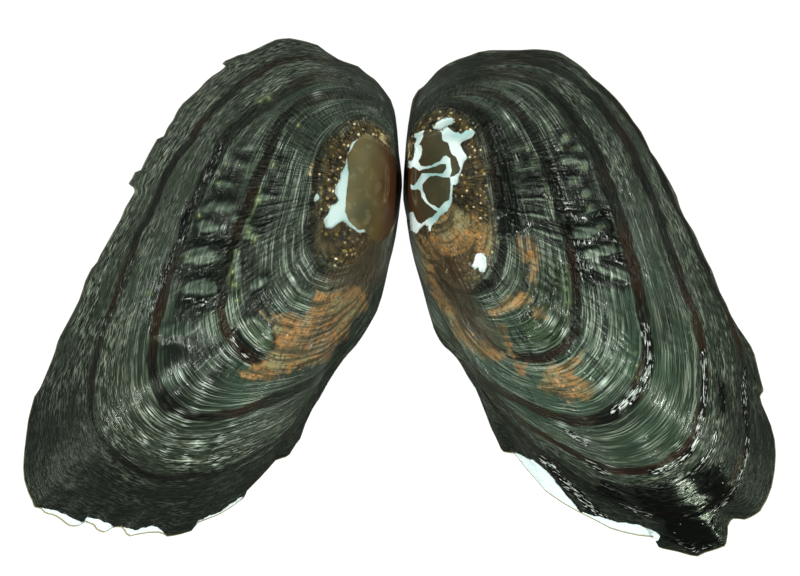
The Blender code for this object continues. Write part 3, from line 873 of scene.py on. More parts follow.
SKIN_STEPS = (
    ("newest", "ramp", "growth", 0.70, 0.86),
    ("front", "ramp", "north", 0.0, 0.035),
    ("early", "ramp", "growth", 0.56, 0.66),
    ("early", "MULTIPLY", "early", "front"),
    ("dashed", "MAXIMUM", "newest", "early"),
    ("dashed", "MULTIPLY", "dashed", 0.8),
    ("fibres", "blend", "dashed", "lines", "dashes"),
    ("pimples", "dome", "pimples", 0.0, 0.60, 1.0, 0.0),
    ("drops", "dome", "drops", 0.0, 0.55, 1.0, 0.0),
    # Water stands in few of the drops' places, and in more of them where the skin glints.
    ("crowded", "ramp", "mottle", 0.50, 0.66, 0.0, 0.06),
    ("chance", "MULTIPLY", "glints", 0.42),
    ("chance", "MAXIMUM", "chance", "crowded"),
    ("chance", "ADD", "chance", "grit"),
    ("chance", "ramp", "chance", 0.80, 0.88),
    ("drops", "MULTIPLY", "drops", "chance"),
    # Wrinkles across the growth lines, rays from the beaks, each about 1 mm wide at mid shell.
    ("ray", "ABSOLUTE", "east"),
    ("ray", "SUBTRACT", "ray", 0.0058),
    ("rise", "SUBTRACT", "north", 0.0355),
    ("ray", "ARCTAN2", "rise", "ray"),
    ("ray", "MULTIPLY", "ray", 45.0),
    ("outwards", "MULTIPLY", "growth", 14.0),
    ("rays", "grid", "ray", "outwards"),
    ("wrinkles", "noise", "rays", 1.0, 1.0),
    ("folded", "ramp", "growth", 0.66, 0.50),
    ("covered", "ramp", "worn", 0.0, 0.5, 1.0, 0.0),
    ("lobe", "ramp", "lobe", 1.5, -1.5),
    ("wrinkled", "MULTIPLY", "folded", "covered", "lobe"),
    # Painted shade in the furrows of the wrinkles.
    ("painted_furrow_shade", "ramp", "wrinkles", 0.44, 0.34, 0.0, 0.7),
    ("painted_furrow_shade", "MULTIPLY", "painted_furrow_shade", "wrinkled"),
    # The skin is green-black, greyer in front, greener on the older swellings, and the tops of the swellings
    # get a painted sheen.
    ("skin", "tone", "mottle", "#141a13", "#283124"),
    ("green", "ramp", "patches", 0.42, 0.60),
    ("young", "ramp", "growth", 0.84, 0.60, 0.15, 1.0),
    ("greener", "ramp", "front", 0.0, 1.0, 1.0, 0.3),
    ("green", "MULTIPLY", "green", "young", "greener"),
    ("faded", "MULTIPLY", "front", "newest", 0.5),
    ("skin", "tone", "faded", "skin", "#3d443b"),
    ("skin", "tone", "green", "skin", "#2a4030"),
    ("skin", "tone", "lobe", "#22351a", "skin"),
    # Painted sheen: the tops of the swellings are lighter.
    ("satin", "ramp", "swell", -0.1, 0.8, 0.0, 0.75),
    ("satin", "MULTIPLY", "satin", "young", "lobe"),
    ("skin", "tone", "satin", "skin", "#3c4c3f"),
    # Pale fibres lie in streaks, partly the skin's own pale lines and partly a painted highlight that is
    # strongest where the highlight strokes lie, and black ones between them.
    ("streaked", "ADD", "streaks", "cloudy"),
    ("streaked", "ramp", "streaked", 0.84, 1.14, 0.12, 1.0),
    ("streaked", "MAXIMUM", "streaked", "gleams"),
    ("lobed", "ramp", "lobe", 0.0, 1.0, 0.3, 1.0),
    ("crisp", "ramp", "growth", 0.76, 0.90, 0.58, 1.05),
    ("woven", "MULTIPLY", "folded", 0.85),
    ("crisp", "MAXIMUM", "crisp", "gleams", "early", "woven"),
    ("knobbed", "ramp", "swell", 0.3, 0.9, 1.0, 0.6),
    ("light", "ramp", "fibres", 0.51, 0.61, 0.0, 0.95),
    ("light", "MULTIPLY", "light", "streaked", "lobed", "crisp", "knobbed"),
    ("line_tone", "tone", "young", "#87907c", "#92a38c"),
    ("skin", "tone", "light", "skin", "line_tone"),
    # Painted highlight on the crests of the raised growth lines.
    ("high", "ramp", "crest", 0.1, 1.0, 0.0, 0.75),
    ("high", "MULTIPLY", "high", "streaked", "crisp"),
    ("skin", "tone", "high", "skin", "line_tone"),
    ("lined", "ramp", "streaked", 0.1, 0.7, 0.45, 0.95),
    ("lined", "MULTIPLY", "lined", "crisp"),
    ("dark", "ramp", "fibres", 0.495, 0.42),
    ("dark", "MULTIPLY", "dark", "lined"),
    ("skin", "tone", "dark", "skin", "#070a08"),
    # Painted shade in the furrows of the wrinkles.
    ("skin", "tone", "painted_furrow_shade", "skin", "#080b08"),
    # Painted shade in the grooves between the raised growth lines.
    ("deep", "ramp", "crest", 0.0, -0.9),
    ("deep", "MULTIPLY", "deep", "lined"),
    ("skin", "tone", "deep", "skin", "#050706"),
    # Painted shade darkens the hollows between the knobs almost to black, and the newest skin is darker
    # towards the rear.
    ("hollow_shade", "ramp", "hollow_shade", 0.0, 1.0, 0.0, 0.9),
    ("rear", "ramp", "north", 0.0, -0.04, 0.0, 0.9),
    ("outermost", "ramp", "growth", 0.82, 0.90),
    ("rear", "MULTIPLY", "rear", "outermost"),
    ("hollow_shade", "MAXIMUM", "hollow_shade", "rear"),
    ("shade", "tone", "hollow_shade", "skin", "#080b09"),
    ("rough", "ramp", "mottle", 0.3, 0.7, 0.24, 0.34),
    ("rough", "blend", "newest", "rough", 0.44),
    # Growth rests are bands of thick dark skin, black or reddish brown, and shiny.
    ("band_tone", "ramp", "patches", 0.48, 0.60),
    ("band_tone", "tone", "band_tone", "#070706", "#1e0e06"),
    ("band", "ramp", "band", 0.0, 0.8, 0.0, 0.95),
    ("shade", "tone", "band", "shade", "band_tone"),
    ("smoothed", "ramp", "newest", 0.0, 1.0, 1.0, 0.3),
    ("smoothed", "MULTIPLY", "smoothed", "band"),
    ("rough", "blend", "smoothed", "rough", 0.30),
    # Beside them run wet black streams, with pale dashes painted in as glints.
    ("soaked", "ramp", "streams", 0.05, 0.35, 0.0, 0.9),
    ("shade", "tone", "soaked", "shade", "#070706"),
    ("rough", "blend", "soaked", "rough", 0.24),
    ("painted_glint_dashes", "MULTIPLY", "streams", 0.17),
    ("painted_glint_dashes", "ADD", "painted_glint_dashes", "dashes"),
    ("painted_glint_dashes", "ramp", "painted_glint_dashes", 0.66, 0.71, 0.0, 0.85),
    ("painted_glint_dashes", "MULTIPLY", "painted_glint_dashes", "soaked"),
    ("shade", "tone", "painted_glint_dashes", "shade", "#c6d0c4"),
    # Where the shell swells up to a rest, its thin lip gets a painted yellowish green highlight, and so do
    # the tips of some knobs.
    ("lit", "MAXIMUM", "lip", "tips"),
    ("lit", "MULTIPLY", "lit", "fibres"),
    ("glow", "ramp", "lit", 0.10, 0.50, 0.0, 0.6),
    ("shade", "tone", "glow", "shade", "#55663a"),
    ("glow", "ramp", "lit", 0.40, 0.58, 0.0, 0.8),
    ("shade", "tone", "glow", "shade", "#aab585"),
    # Here and there the pale fibres get painted highlight strokes, and painted white glints sit on the
    # drops.
    ("painted_highlight_strokes", "ramp", "fibres", 0.50, 0.60),
    ("painted_highlight_strokes", "MULTIPLY", "painted_highlight_strokes", "gleams"),
    ("shade", "tone", "painted_highlight_strokes", "shade", "#b4c4b2"),
    ("painted_drop_glint", "ramp", "glints", 0.1, 0.5),
    ("painted_drop_glint", "MULTIPLY", "drops", "painted_drop_glint"),
    ("painted_drop_glint", "ramp", "painted_drop_glint", 0.35, 0.70),
    ("shade", "tone", "painted_drop_glint", "shade", "#dfe6de"),
    # Round the beak the skin is brown and beaded, with painted shade between the beads, 1 to 2 mm across,
    # and a painted golden sheen and glints on their tops.
    ("bead_brown_and_painted_shade", "ramp", "bead", -0.1, 0.9),
    ("bead_colour_and_painted_light", "tone", "bead_brown_and_painted_shade", "#0e0b07", "#514424"),
    ("painted_bead_sheen", "MULTIPLY", "pimples", "mottle"),
    ("painted_bead_sheen", "ramp", "painted_bead_sheen", 0.16, 0.40, 0.0, 0.75),
    ("bead_colour_and_painted_light", "tone", "painted_bead_sheen", "bead_colour_and_painted_light", "#8f7c42"),
    ("painted_bead_glint", "ramp", "cells", 0.46, 0.54),
    ("painted_bead_glint", "MULTIPLY", "painted_bead_glint", "pimples", "fibres"),
    ("painted_bead_glint", "ramp", "painted_bead_glint", 0.33, 0.46),
    ("bead_colour_and_painted_light", "tone", "painted_bead_glint", "bead_colour_and_painted_light", "#efe6bd"),
    ("shade", "tone", "beaded", "shade", "bead_colour_and_painted_light"),
    # Rust-coloured mud lies in scratches and grains, and mends to olive in blotches.
    ("scratch", "ramp", "streaks", 0.40, 0.47),
    ("flecks", "ramp", "flecks", 0.38, 0.62),
    ("mud", "tone", "flecks", "#76603a", "#a47842"),
    ("olive", "ramp", "mottle", 0.50, 0.60, 0.0, 0.8),
    ("mud", "tone", "olive", "mud", "#85835c"),
    ("mud", "tone", "scratch", "#4f452c", "mud"),
    ("grains", "ramp", "grains", 0.46, 0.36, 0.0, 0.7),
    ("mud", "tone", "grains", "mud", "#2f2a1a"),
    ("gold", "tone", "flecks", "#352b15", "#cdbd84"),
    # On the worn beaks old layers are olive brown, darker on the right valve, red at the hinge.
    ("hinge", "ABSOLUTE", "east"),
    ("hinge", "ramp", "hinge", 0.010, 0.003),
    ("clouded", "ramp", "cloudy", 0.35, 0.65),
    ("old", "tone", "clouded", "#3d3b26", "#574d2b"),
    ("spotted", "ramp", "flecks", 0.7, 1.0, 0.0, 0.35),
    ("old", "tone", "spotted", "old", "#6a6446"),
    ("right", "ramp", "east", -0.001, 0.001, 0.0, 0.7),
    ("old", "tone", "right", "old", "#2b2b20"),
    ("old", "tone", "hinge", "old", "#3a2210"),
    # Bare nacre is pale, and bluer on the left valve.
    ("pearl", "ramp", "cloudy", 0.40, 0.56),
    ("pearl", "tone", "pearl", "#8bb0a9", "#cfdfd8"),
    ("blue", "ramp", "right", 0.0, 0.7, 0.6, 0.0),
    ("pearl", "tone", "blue", "pearl", "#86a39d"),
)

# Layers over the skin: mark, what tears its edge, how ragged it is and how soft, in millimetres,
# then colour, roughness, strength, and what thins it: field, start, full, and how much is left.
LAYERS = (
    ("stained", "grain", 2.5, 2.0, "#40321f", 0.40, 0.65, ()),
    ("rust", "place", 2.6, 0.7, "mud", 0.75, 0.85,
     (("mottle", 0.36, 0.44, 0.5), ("fibres", 0.40, 0.48, 0.5))),
    # Wet black skin, and painted shade in some creases between the knobs.
    ("wet_and_crease_shade", "grain", 3.0, 1.6, "#040504", 0.17, 0.90, ()),
    ("gilded", "place", 0.7, 0.15, "gold", 0.30, 0.85, ()),
    ("worn", "place", 0.7, 0.10, "pearl", 0.22, 1.0, ()),
    ("brown", "place", 0.4, 0.10, "old", 0.45, 1.0, (("worn", -0.6, -0.4, 0.0),)),
    ("bare", "place", 0.7, 0.10, "#d3e4e0", 0.30, 1.0, ()),
)

FINISHING_STEPS = (
    # The broken edge of the shell shows as a thin olive line.
    ("thick", "ramp", "bare", -1.5, 0.5, 0.40, 0.0),
    ("thick", "ADD", "thick", "from_margin"),
    ("edge", "ramp", "thick", 0.80, 0.50),
    ("shade", "tone", "edge", "shade", "#8a8666"),
    # Old skin is satiny between the bands. Wet skin is smooth but for its drops.
    ("slick", "ramp", "rough", 0.27, 0.18),
    ("beaded_wet", "MULTIPLY", "slick", "covered"),
    ("unbanded", "ramp", "band", 0.0, 1.0, 1.0, 0.0),
    ("satiny", "ramp", "growth", 0.72, 0.88, 0.5, 0.0),
    ("satiny", "MULTIPLY", "satiny", "covered", "streaked", "unbanded"),
    ("fibrous", "ramp", "slick", 0.0, 1.0, 1.0, 0.12),
    ("fibrous", "MULTIPLY", "fibrous", "covered"),
    ("beading", "MULTIPLY", "beaded", "covered"),
    ("bump", "bump", "fibres", 0.0006, "fibrous"),
    ("bump", "bump", "wrinkles", 0.0009, "wrinkled", "bump"),
    ("bump", "bump", "drops", 0.00028, "beaded_wet", "bump"),
    ("bump", "bump", "pimples", 0.00035, "beading", "bump"),
)


def blank_material(name):
    """A new material without nodes, and its node tree."""
    material = bpy.data.materials.new(name)
    material.use_nodes = True
    material.node_tree.nodes.clear()
    return material, material.node_tree


def skin_material():
    """Periostracum: the skin of the shell, with all that it has worn through or been stained by."""
    material, tree = blank_material("periostracum_skin")
    place = add(tree, "TexCoord").outputs["Object"]
    split = add(tree, "SeparateXYZ", {0: place})
    fields = {"place": place, "east": split.outputs[0], "north": split.outputs[1]}
    for key in FORMED + OUTLINED + SPOTTED:
        fields[key] = add(tree, "Attribute", attribute_name=key).outputs["Fac"]
    for name, size, detail in BLOTCHES:
        work_out(tree, fields, [(name, "noise", "place", 1 / (size * MM), detail)])
    for name, to_growth, length, detail in FIBRES:
        along = add(tree, "VectorMath", {0: place, "Scale": 1 / (length * MM)}, operation="SCALE")
        along = add(tree, "SeparateXYZ", {0: along.outputs[0]})
        fields.update(along_x=along.outputs[0], along_y=along.outputs[1])
        work_out(tree, fields, (
            ("across", "MULTIPLY", "growth", to_growth),
            ("grain", "grid", "across", "along_x", "along_y"),
            (name, "noise", "grain", 1.0, detail),
        ))
    for name, dome, apart in LATTICES:
        lattice = add(tree, "TexVoronoi", {"Vector": place, "Scale": 1 / (apart * MM)})
        fields.update({name: lattice.outputs["Color"], dome: lattice.outputs["Distance"]})
    work_out(tree, fields, SKIN_STEPS)
    for key, coordinate, raggedness, softness, tone, roughness, strength, thinned in LAYERS:
        scale = 1.0 if coordinate == "grain" else 1 / (NICKS * MM)
        work_out(tree, fields, (
            ("torn", "noise", coordinate, scale, 3.0),
            ("wobble", "ramp", "torn", 0.25, 0.75, -raggedness / 2, raggedness / 2),
            ("depth", "ADD", key, "wobble"),
            ("share", "ramp", "depth", -softness, softness, 0.0, strength),
        ))
        for field, start, full, left in thinned:
            work_out(tree, fields, (
                ("gaps", "ramp", field, start, full, left, 1.0),
                ("share", "MULTIPLY", "share", "gaps"),
            ))
        work_out(tree, fields, (
            ("shade", "tone", "share", "shade", tone),
            ("rough", "blend", "share", "rough", roughness),
        ))
    work_out(tree, fields, FINISHING_STEPS)
    shader = add(tree, "BsdfPrincipled", {
        "Base Color": fields["shade"], "Roughness": fields["rough"], "Normal": fields["bump"],
        "Specular IOR Level": 0.22, "Specular Tint": colour("#e2f5d6"), "Coat Weight": fields["satiny"],
        "Coat Roughness": 0.10, "Coat Normal": fields["bump"],
    })
    add(tree, "OutputMaterial", {"Surface": shader.outputs[0]})
    return material


# Nacre, or mother-of-pearl, lines the hollow in thin layers that the mussel lays down from inside. It
# is smooth and silvery, with faint clouds of pink and blue some 33 mm across.

NACRE_CLOUDS = 33.33


def nacre_material():
    material, tree = blank_material("nacre_lining")
    place = add(tree, "TexCoord").outputs["Object"]
    clouds = add(tree, "TexNoise", {"Vector": place, "Scale": 1 / (NACRE_CLOUDS * MM), "Detail": 3.0})
    tone = add(tree, "Mix", {0: clouds.outputs[0], 6: colour("#cfe0e4"), 7: colour("#efe0dc")},
               data_type="RGBA")
    bump = add(tree, "Bump", {"Height": clouds.outputs[0], "Distance": 0.0006, "Strength": 0.5})
    shader = add(tree, "BsdfPrincipled", {
        "Base Color": tone.outputs[2], "Roughness": 0.25, "Normal": bump.outputs[0], "IOR": 1.6,
        "Coat Weight": 0.4, "Coat Roughness": 0.1,
    })
    add(tree, "OutputMaterial", {"Surface": shader.outputs[0]})
    return material


skin = skin_material()
nacre = nacre_material()


def put_in_scene(name, data):
    """An object for a mesh, a lamp or a camera, linked to the scene."""
    made = bpy.data.objects.new(name, data)
    bpy.context.scene.collection.objects.link(made)
    return made


def place_valve(facts, marks, name, node):
    """Hangs a finished valve in the scene in place of its plain solid."""
    mesh = valve_mesh(facts, marks, name)
    mesh.materials.append(skin)
    mesh.materials.append(nacre)
    valve = put_in_scene(name, mesh)
    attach(valve, "root")
    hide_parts(node)


place_valve(LEFT, LEFT_MARKS, "left_shell", "left_valve")


# The right valve is the left one's mirror image in kind, grown with the same skin. Its beak is worn
# into a net of nacre with brown islands, a black wet band runs round it, and its rear margin is
# chipped, with a tab of skin beside a notch.

RIGHT = {
    "turn": -1,
    "beak": (6.6, 36.0),
    "hollow_centre": (47.0, 8.0),
    "seed": 42,
    "body": (
        (1.1, 35.0), (2.2, 47.1), (3.6, 59.3), (6.7, 66.7), (11.8, 71.5), (19.5, 75.9),
        (30.7, 78.8), (45.1, 79.5), (53.1, 78.2), (64.3, 68.9), (72.3, 60.6), (80.3, 48.7),
        (87.0, 35.9), (94.1, 21.9), (101.8, 4.3), (110.4, -12.4), (115.5, -26.5), (119.4, -41.2),
        (120.6, -49.0), (118.7, -62.3), (114.6, -69.6), (110.4, -71.6), (106.5, -71.0),
        (105.3, -74.3), (104.6, -79.9), (98.0, -81.7), (95.4, -83.1), (89.9, -82.1),
        (84.4, -80.9), (82.2, -77.2), (73.9, -75.4), (57.6, -69.3), (43.5, -58.1), (38.0, -50.6),
        (33.0, -49.2), (28.8, -39.6), (21.4, -25.5), (14.7, -17.5), (10.9, -10.1), (7.7, 2.0),
        (4.2, 13.5), (2.1, 26.5),
    ),
    "ragged_margin": (
        (403.1, 188), (403.6, 174), (405, 160), (406, 146), (408, 126), (411, 106), (413, 98),
        (418, 90), (424, 86), (430, 79), (438, 70), (447, 64), (458, 59), (468, 56), (478, 52),
        (490, 50), (505, 50), (520, 50), (535, 49), (548, 50), (560, 52), (568, 57), (577, 63),
        (586, 70), (592, 77), (600, 83), (608, 90), (616, 98), (622, 105), (628, 113), (634, 122),
        (641, 131), (646, 141), (651, 152), (657, 160), (664, 172), (671, 184), (677, 196),
        (680, 207), (685, 218), (693, 230), (697, 238), (700, 246), (706, 259), (712, 270),
        (716, 281), (720, 292), (726, 303), (731, 315), (738, 327), (745, 337), (751, 346),
        (755, 355), (758, 368), (761, 380), (764, 391), (760, 396), (762, 404), (766, 413),
        (771, 425), (775, 440), (776, 455), (775, 470), (772, 487), (767, 500), (760, 512),
        (752, 517), (745, 520), (738, 519), (732, 519), (728, 526), (728, 533), (727, 540),
        (726, 546), (715, 550), (705, 553), (697, 557), (688, 555), (678, 552), (668, 550),
        (659, 548), (659, 539), (650, 537), (639, 536), (625, 533), (611, 529), (596, 521),
        (582, 514), (578, 512), (562, 503), (545, 491), (536, 480), (527, 470), (519, 460),
        (515, 454), (508, 453), (502, 452), (500, 447), (496, 438), (491, 428), (486, 415),
        (481, 402), (476, 390), (468, 378), (460, 363), (452, 353), (446, 349), (440, 342),
        (434, 331), (433, 320), (434, 312), (430, 302), (427, 292), (421, 280), (419, 270),
        (415, 258), (411, 245), (409, 232), (407, 220), (404.5, 208), (403.0, 198),
    ),
    "rests": (
        (0.24, (0, 9), (
            (404, 152), (411, 132), (424, 115), (441, 106), (456, 107), (469, 115), (479, 129),
            (485, 149), (489, 170), (492, 195), (495, 220), (497, 243), (494, 262), (486, 277),
            (472, 287), (455, 287), (440, 276), (425, 258), (414, 238),
        )),
        (0.45, (-5, 7), (
            (403, 146), (410, 125), (424, 108), (443, 98), (466, 92), (488, 95), (505, 103),
            (519, 117), (530, 136), (540, 158), (548, 182), (555, 208), (561, 230), (567, 256),
            (571, 282), (573, 308), (570, 328), (561, 344), (546, 353), (524, 356), (503, 351),
            (485, 338), (468, 318), (450, 292), (432, 262),
        )),
        (0.64, (-7, 8), (
            (402, 139), (411, 115), (426, 98), (445, 85), (466, 78), (490, 75), (515, 78),
            (540, 88), (560, 105), (576, 127), (590, 151), (601, 176), (610, 202), (618, 228),
            (626, 256), (633, 285), (639, 312), (643, 338), (643, 360), (636, 383), (622, 402),
            (604, 415), (584, 420), (560, 416), (536, 408), (512, 396), (490, 382), (470, 362),
            (452, 335), (436, 303),
        )),
        (0.80, (-4, 6), (
            (402, 134), (411, 110), (426, 91), (446, 76), (468, 67), (492, 62), (518, 61),
            (545, 65), (569, 78), (590, 96), (609, 120), (626, 148), (640, 177), (652, 206),
            (662, 234), (672, 264), (683, 294), (693, 322), (699, 350), (701, 378), (700, 404),
            (694, 427), (682, 447), (664, 461), (640, 469), (612, 468), (586, 458), (560, 444),
            (534, 428), (510, 410), (490, 392), (474, 370), (460, 345),
        )),
        (0.92, (-3, 3), (
            (402, 129), (411, 105), (427, 86), (448, 70), (472, 60), (498, 55), (526, 54),
            (555, 57), (581, 70), (606, 92), (630, 121), (650, 156), (667, 190), (683, 222),
            (698, 254), (713, 286), (728, 318), (738, 348), (743, 378), (745, 408), (745, 435),
            (741, 459), (731, 481), (714, 500), (692, 512), (664, 514), (636, 508), (608, 497),
            (582, 482), (556, 464), (530, 443), (508, 422), (490, 402), (476, 380),
        )),
    ),
    "lumps": (
        (582, 235, 18, 9, 0, 2.0), (595, 254, 20, 7, 8, 1.8), (602, 272, 24, 7, -20, 1.4),
        (578, 220, 9, 5, 10, 1.3), (588, 210, 7, 6, 0, 1.2), (583, 196, 8, 6, 20, 1.2),
        (572, 184, 9, 6, 0, 1.3), (580, 170, 6, 7, 0, 1.2), (566, 163, 10, 6, 0, 1.2),
        (563, 142, 6, 7, 0, 1.0), (574, 151, 6, 5, 0, 1.0), (557, 151, 5, 5, 0, 0.9),
        (598, 228, 7, 6, 0, 1.1), (516, 152, 9, 7, 0, 1.0), (516, 169, 9, 8, -30, 1.2),
        (530, 168, 6, 8, 0, 0.8), (530, 190, 18, 5, 0, 0.6), (530, 204, 18, 5, 0, 0.6),
        (532, 218, 18, 5, 0, 0.6), (548, 300, 17, 40, 3, 2.2), (598, 330, 22, 45, 10, 1.3),
        (540, 235, 20, 5, -15, 0.8),
    ),
}

RIGHT_MARKS = {
    "worn": (
        ((433, 130), (435, 125), (441, 121), (448, 119), (453, 121), (452, 125), (446, 128),
         (439, 131), (434, 131)),
        ((414, 135), (422, 131), (424, 132), (422, 136), (427, 137), (435, 134), (441, 134),
         (447, 129), (453, 134), (460, 136), (465, 133), (471, 132), (473, 135), (471, 140),
         (465, 142), (461, 144), (459, 146), (460, 150), (465, 156), (466, 159), (463, 164),
         (461, 170), (459, 176), (457, 179), (457, 184), (455, 187), (452, 187), (451, 196),
         (451, 202), (449, 208), (446, 213), (440, 216), (436, 222), (431, 227), (430, 232),
         (427, 233), (427, 227), (424, 225), (419, 230), (415, 234), (411, 231), (408, 221),
         (405, 212), (403, 200), (403, 180), (406, 172), (407, 165), (411, 161), (413, 157),
         (415, 151), (414, 146), (415, 141)),
        ((470, 266), (473, 261), (475, 255), (480, 253), (485, 258), (485, 267), (483, 272),
         (479, 271), (477, 267), (474, 269)),
    ),
    "brown": (
        ((417, 146), (419, 144), (423, 136), (434, 133), (440, 134), (441, 142), (447, 144),
         (448, 148), (450, 155), (454, 158), (457, 164), (459, 171), (457, 175), (452, 178),
         (448, 179), (449, 187), (448, 196), (448, 201), (443, 204), (440, 207), (437, 210),
         (434, 208), (428, 205), (424, 199), (422, 192), (422, 186), (425, 181), (428, 178),
         (434, 177), (440, 179), (448, 179), (450, 173), (449, 165), (449, 160), (447, 159),
         (445, 157), (442, 158), (439, 162), (435, 164), (430, 167), (424, 168), (419, 167),
         (417, 163), (420, 157), (421, 152), (420, 147)),
        ((402, 168), (408, 169), (413, 168), (417, 172), (430, 169), (440, 166), (444, 166),
         (445, 170), (443, 173), (441, 175), (435, 175), (420, 175), (417, 180), (415, 184),
         (414, 187), (410, 184), (409, 187), (412, 191), (416, 190), (419, 192), (420, 198),
         (424, 204), (431, 210), (436, 213), (431, 218), (424, 221), (420, 225), (417, 224),
         (414, 219), (411, 212), (407, 215), (401, 200)),
    ),
    "bare": (
        ((514, 452), (517, 454), (532, 460), (543, 468), (552, 477), (559, 487), (568, 497),
         (580, 512), (578, 518), (560, 508), (540, 494), (520, 470)),
        ((583, 513), (600, 517), (616, 522), (634, 524), (652, 530), (659, 534), (659, 541),
         (640, 542), (608, 534), (580, 520)),
    ),
    "rust": (
        ((434, 222), (450, 208), (468, 214), (486, 228), (494, 245), (486, 256), (470, 248),
         (450, 258), (434, 260), (426, 244)),
        ((420, 236), (429, 240), (431, 262), (440, 288), (450, 305), (463, 329), (475, 338),
         (500, 352), (503, 356), (497, 361), (480, 356), (466, 346), (452, 330), (440, 306),
         (428, 282), (421, 262)),
        ((489, 310), (497, 302), (512, 294), (526, 291), (528, 300), (518, 308), (500, 313),
         (492, 318)),
        ((495, 319), (505, 327), (509, 340), (512, 356), (506, 352), (501, 335), (495, 324)),
        ((514, 362), (524, 364), (523, 375), (515, 373)),
        ((531, 307), (543, 306), (542, 317), (532, 316)),
        ((515, 238), (530, 238), (536, 252), (536, 262), (533, 282), (527, 283), (528, 262),
         (520, 262), (515, 252)),
        ((540, 372), (545, 364), (560, 366), (575, 352), (580, 350), (578, 362), (570, 372),
         (588, 380), (590, 392), (583, 398), (565, 400), (555, 394), (542, 392), (537, 388)),
    ),
    "lobe": (
        ((532, 262), (550, 256), (564, 266), (568, 290), (568, 318), (560, 338), (545, 348),
         (528, 345), (522, 325), (526, 295)),
    ),
    # The black wet band round the beak and other wet skin, and painted shade in the hollows beside the
    # knobs.
    "wet_and_crease_shade": (
        ((440, 104), (458, 103), (480, 108), (496, 122), (505, 142), (512, 166), (516, 192),
         (520, 218), (521, 236), (512, 242), (500, 238), (495, 215), (491, 188), (487, 160),
         (479, 136), (468, 119), (452, 111)),
        ((541, 152), (556, 152), (562, 180), (568, 214), (570, 240), (560, 236), (552, 205),
         (544, 176)),
        ((572, 262), (590, 270), (604, 282), (590, 290), (574, 284)),
        ((590, 208), (606, 210), (612, 232), (622, 262), (616, 268), (604, 240)),
        ((713, 376), (725, 384), (725, 410), (716, 414)),
        ((600, 478), (650, 482), (684, 470), (724, 464), (732, 486), (714, 512), (722, 530),
         (722, 544), (690, 548), (662, 540), (660, 520), (620, 508), (590, 490)),
    ),
    "stained": (
        ((408, 225), (460, 235), (480, 250), (470, 300), (500, 330), (496, 350), (460, 330),
         (430, 290)),
    ),
    # Streams of wet black skin with painted glint dashes.
    "streams": (
        (4.0, 0.9, ((641, 326), (645, 345), (646, 360), (644, 372), (639, 384), (631, 392), (622, 400),
               (611, 409))),
        (3.0, 0.8, ((700, 352), (701, 370), (701, 390), (700, 406), (698.5, 417), (695.7, 433), (688.7, 450),
               (677.4, 461), (663.4, 466.6), (649.4, 470.8))),
        (2.5, 0.8, ((712.5, 430), (709.7, 447), (700, 462), (691.5, 471), (674.6, 480.6), (660.6, 486),
               (650, 487))),
        (2.5, 0.6, ((742, 372), (742, 402), (743.4, 416), (745.5, 436), (744.8, 453), (740.6, 469),
               (736.4, 483), (728, 499), (715, 507), (694, 514), (681, 516))),
        (2.0, 0.9, ((622, 504), (635, 510), (649, 514))),
        (2.5, 0.7, ((565, 430), (576, 437), (584, 443))),
        (2.5, 0.7, ((588, 460), (596, 468), (604, 473))),
        (2.0, 0.9, ((603, 483), (613, 489), (624, 493))),
        (4.0, 0.6, ((541, 457), (549, 463), (557, 474), (566, 485), (576, 492), (585, 501), (595, 513),
               (604, 519))),
        (4.0, 0.5, ((673, 539), (686, 544), (693, 549), (708, 546))),
        (1.5, 1.0, ((541, 197), (549, 201))),
        (2.5, 0.8, ((563, 214), (570, 219), (580, 221))),
        (2.0, 0.6, ((570, 244), (585, 244), (598, 232))),
        (2.5, 0.6, ((574, 256), (576, 264), (584, 271), (592, 276))),
        (1.5, 0.9, ((497, 219), (508, 214))),
        (2.0, 0.8, ((515, 235), (522, 231), (527, 226))),
    ),
    "gilded": (
        ((404, 141), (409, 136), (412, 146), (411, 157), (405, 163), (404, 150)),
        ((403, 176), (409, 178), (416, 204), (414, 214), (408, 212), (404, 196)),
    ),
    # Painted highlight strokes: middle and size in pixels.
    "gleams": (
        (505, 118, 5), (513, 128, 4), (602, 382, 7), (630, 392, 6), (560, 330, 6), (548, 320, 6),
        (600, 340, 6), (622, 404, 5), (590, 262, 5), (604, 276, 5), (516, 160, 4), (640, 440, 5),
        (676, 446, 5), (700, 360, 5), (704, 400, 5), (560, 425, 5), (584, 440, 5),
    ),
    # Painted glints, where more drops also stand: middle and size in pixels.
    "glints": (
        (578, 220, 5), (569, 218, 4), (565, 213, 3), (546, 198, 3), (502, 216, 4), (508, 213, 3),
        (518, 232, 4), (526, 228, 4), (577, 262, 4), (586, 270, 4), (570, 244, 3), (585, 244, 2),
        (599, 230, 4), (502, 186, 5), (512, 182, 4), (646, 345, 4), (646, 360, 4), (645, 376, 4),
        (640, 392, 4), (628, 402, 4), (616, 407, 4), (700, 352, 3), (702, 372, 3), (703, 396, 3),
        (621, 190, 3), (626, 194, 3), (610, 205, 2), (638, 242, 3), (625, 240, 3), (413, 196, 3),
        (424, 206, 3), (436, 240, 3), (432, 236, 3),
    ),
    # Knob tips with a painted yellowish green highlight: middle and size in pixels.
    "tips": (
        (563, 140, 4), (557, 151, 3), (571, 151, 3), (578, 170, 4), (571, 183, 3), (585, 210, 4),
        (582, 198, 3), (598, 228, 4), (610, 246, 4), (562, 278, 3), (562, 290, 3), (563, 302, 3),
        (563, 314, 3), (632, 352, 3), (633, 364, 3), (633, 376, 3), (510, 160, 3), (526, 152, 3),
        (530, 166, 3),
    ),
}

place_valve(RIGHT, RIGHT_MARKS, "right_shell", "right_valve")


# The table is a smooth white board. In the photograph it is pure white without a shadow, so it glows
# for the camera, and throws only a little of that light on the shell.

TABLE_SIZE = 3.0
SEEN_GLOW = 0.985
BOUNCED_GLOW = 0.22

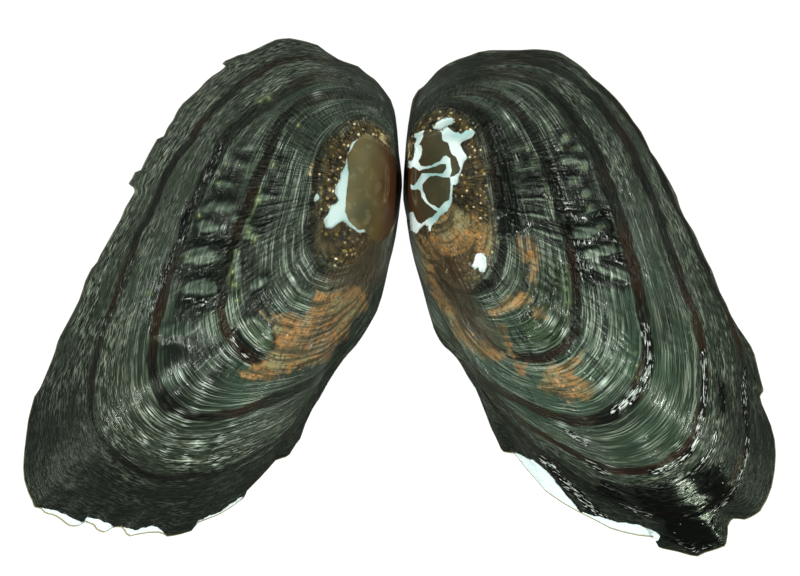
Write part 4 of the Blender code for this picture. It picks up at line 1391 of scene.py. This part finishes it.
white, tree = blank_material("white_board")
seen = add(tree, "LightPath").outputs["Is Camera Ray"]
glow = add(tree, "MapRange", {0: seen, 3: BOUNCED_GLOW, 4: SEEN_GLOW}).outputs[0]
board = add(tree, "BsdfPrincipled", {
    "Base Color": colour("#606260"), "Roughness": 0.9, "Specular IOR Level": 0.1,
    "Emission Color": (1, 1, 1, 1), "Emission Strength": glow,
})
add(tree, "OutputMaterial", {"Surface": board.outputs[0]})

table = put_in_scene("table_top", plain_mesh(
    "table_top", bmesh.ops.create_grid, x_segments=1, y_segments=1, size=TABLE_SIZE / 2
))
table.data.materials.append(white)


# Four small soft lamps stand halfway up round the shell, two near and two fainter ones far, and the
# room above is dim, so the flanks of the ridges shine while their tops stay dark.

LAMPS = (
    # azimuth round the shell and height above the table in degrees, watts, width in metres
    ("lamp_near_left", 210, 42, 10.0, 0.16),
    ("lamp_near_right", 330, 42, 10.0, 0.16),
    ("lamp_far_left", 150, 45, 4.5, 0.16),
    ("lamp_far_right", 30, 45, 4.5, 0.16),
)
LAMP_DISTANCE = 1.1
DIM_ROOM = 0.10
DIM_ROOM_COLOUR = (0.9, 0.95, 1.0, 1)

for name, azimuth, elevation, watts, width in LAMPS:
    lamp = bpy.data.lights.new(name, "AREA")
    lamp.energy = watts
    lamp.size = width
    holder = put_in_scene(name, lamp)
    turn, tilt = math.radians(azimuth), math.radians(elevation)
    holder.location = (
        LAMP_DISTANCE * math.cos(tilt) * math.cos(turn),
        LAMP_DISTANCE * math.cos(tilt) * math.sin(turn),
        LAMP_DISTANCE * math.sin(tilt),
    )
    holder.rotation_euler = (math.radians(90) - tilt, 0, turn + math.radians(90))

world = bpy.data.worlds.new("dim_room")
bpy.context.scene.world = world
world.use_nodes = True
background = world.node_tree.nodes["Background"]
background.inputs["Color"].default_value = DIM_ROOM_COLOUR
background.inputs["Strength"].default_value = DIM_ROOM
bpy.context.scene.view_settings.view_transform = "Standard"


# The camera looks straight down from a copying stand through a long lens, with the front ends of
# the valves at the top of the picture.

PHOTO_PIXELS = (800, 576)
CAMERA_HEIGHT = 1.6
SENSOR = 36.0

camera_data = bpy.data.cameras.new("copy_camera")
camera_data.sensor_width = SENSOR
camera_data.lens = SENSOR * CAMERA_HEIGHT / (PHOTO_PIXELS[0] * PHOTO_MM * MM)
camera_data.clip_end = 10
camera = put_in_scene("copy_camera", camera_data)
middle_x, middle_y = on_table((PHOTO_PIXELS[0] / 2, PHOTO_PIXELS[1] / 2)) * MM
camera.location = (middle_x, middle_y, CAMERA_HEIGHT)
bpy.context.scene.camera = camera
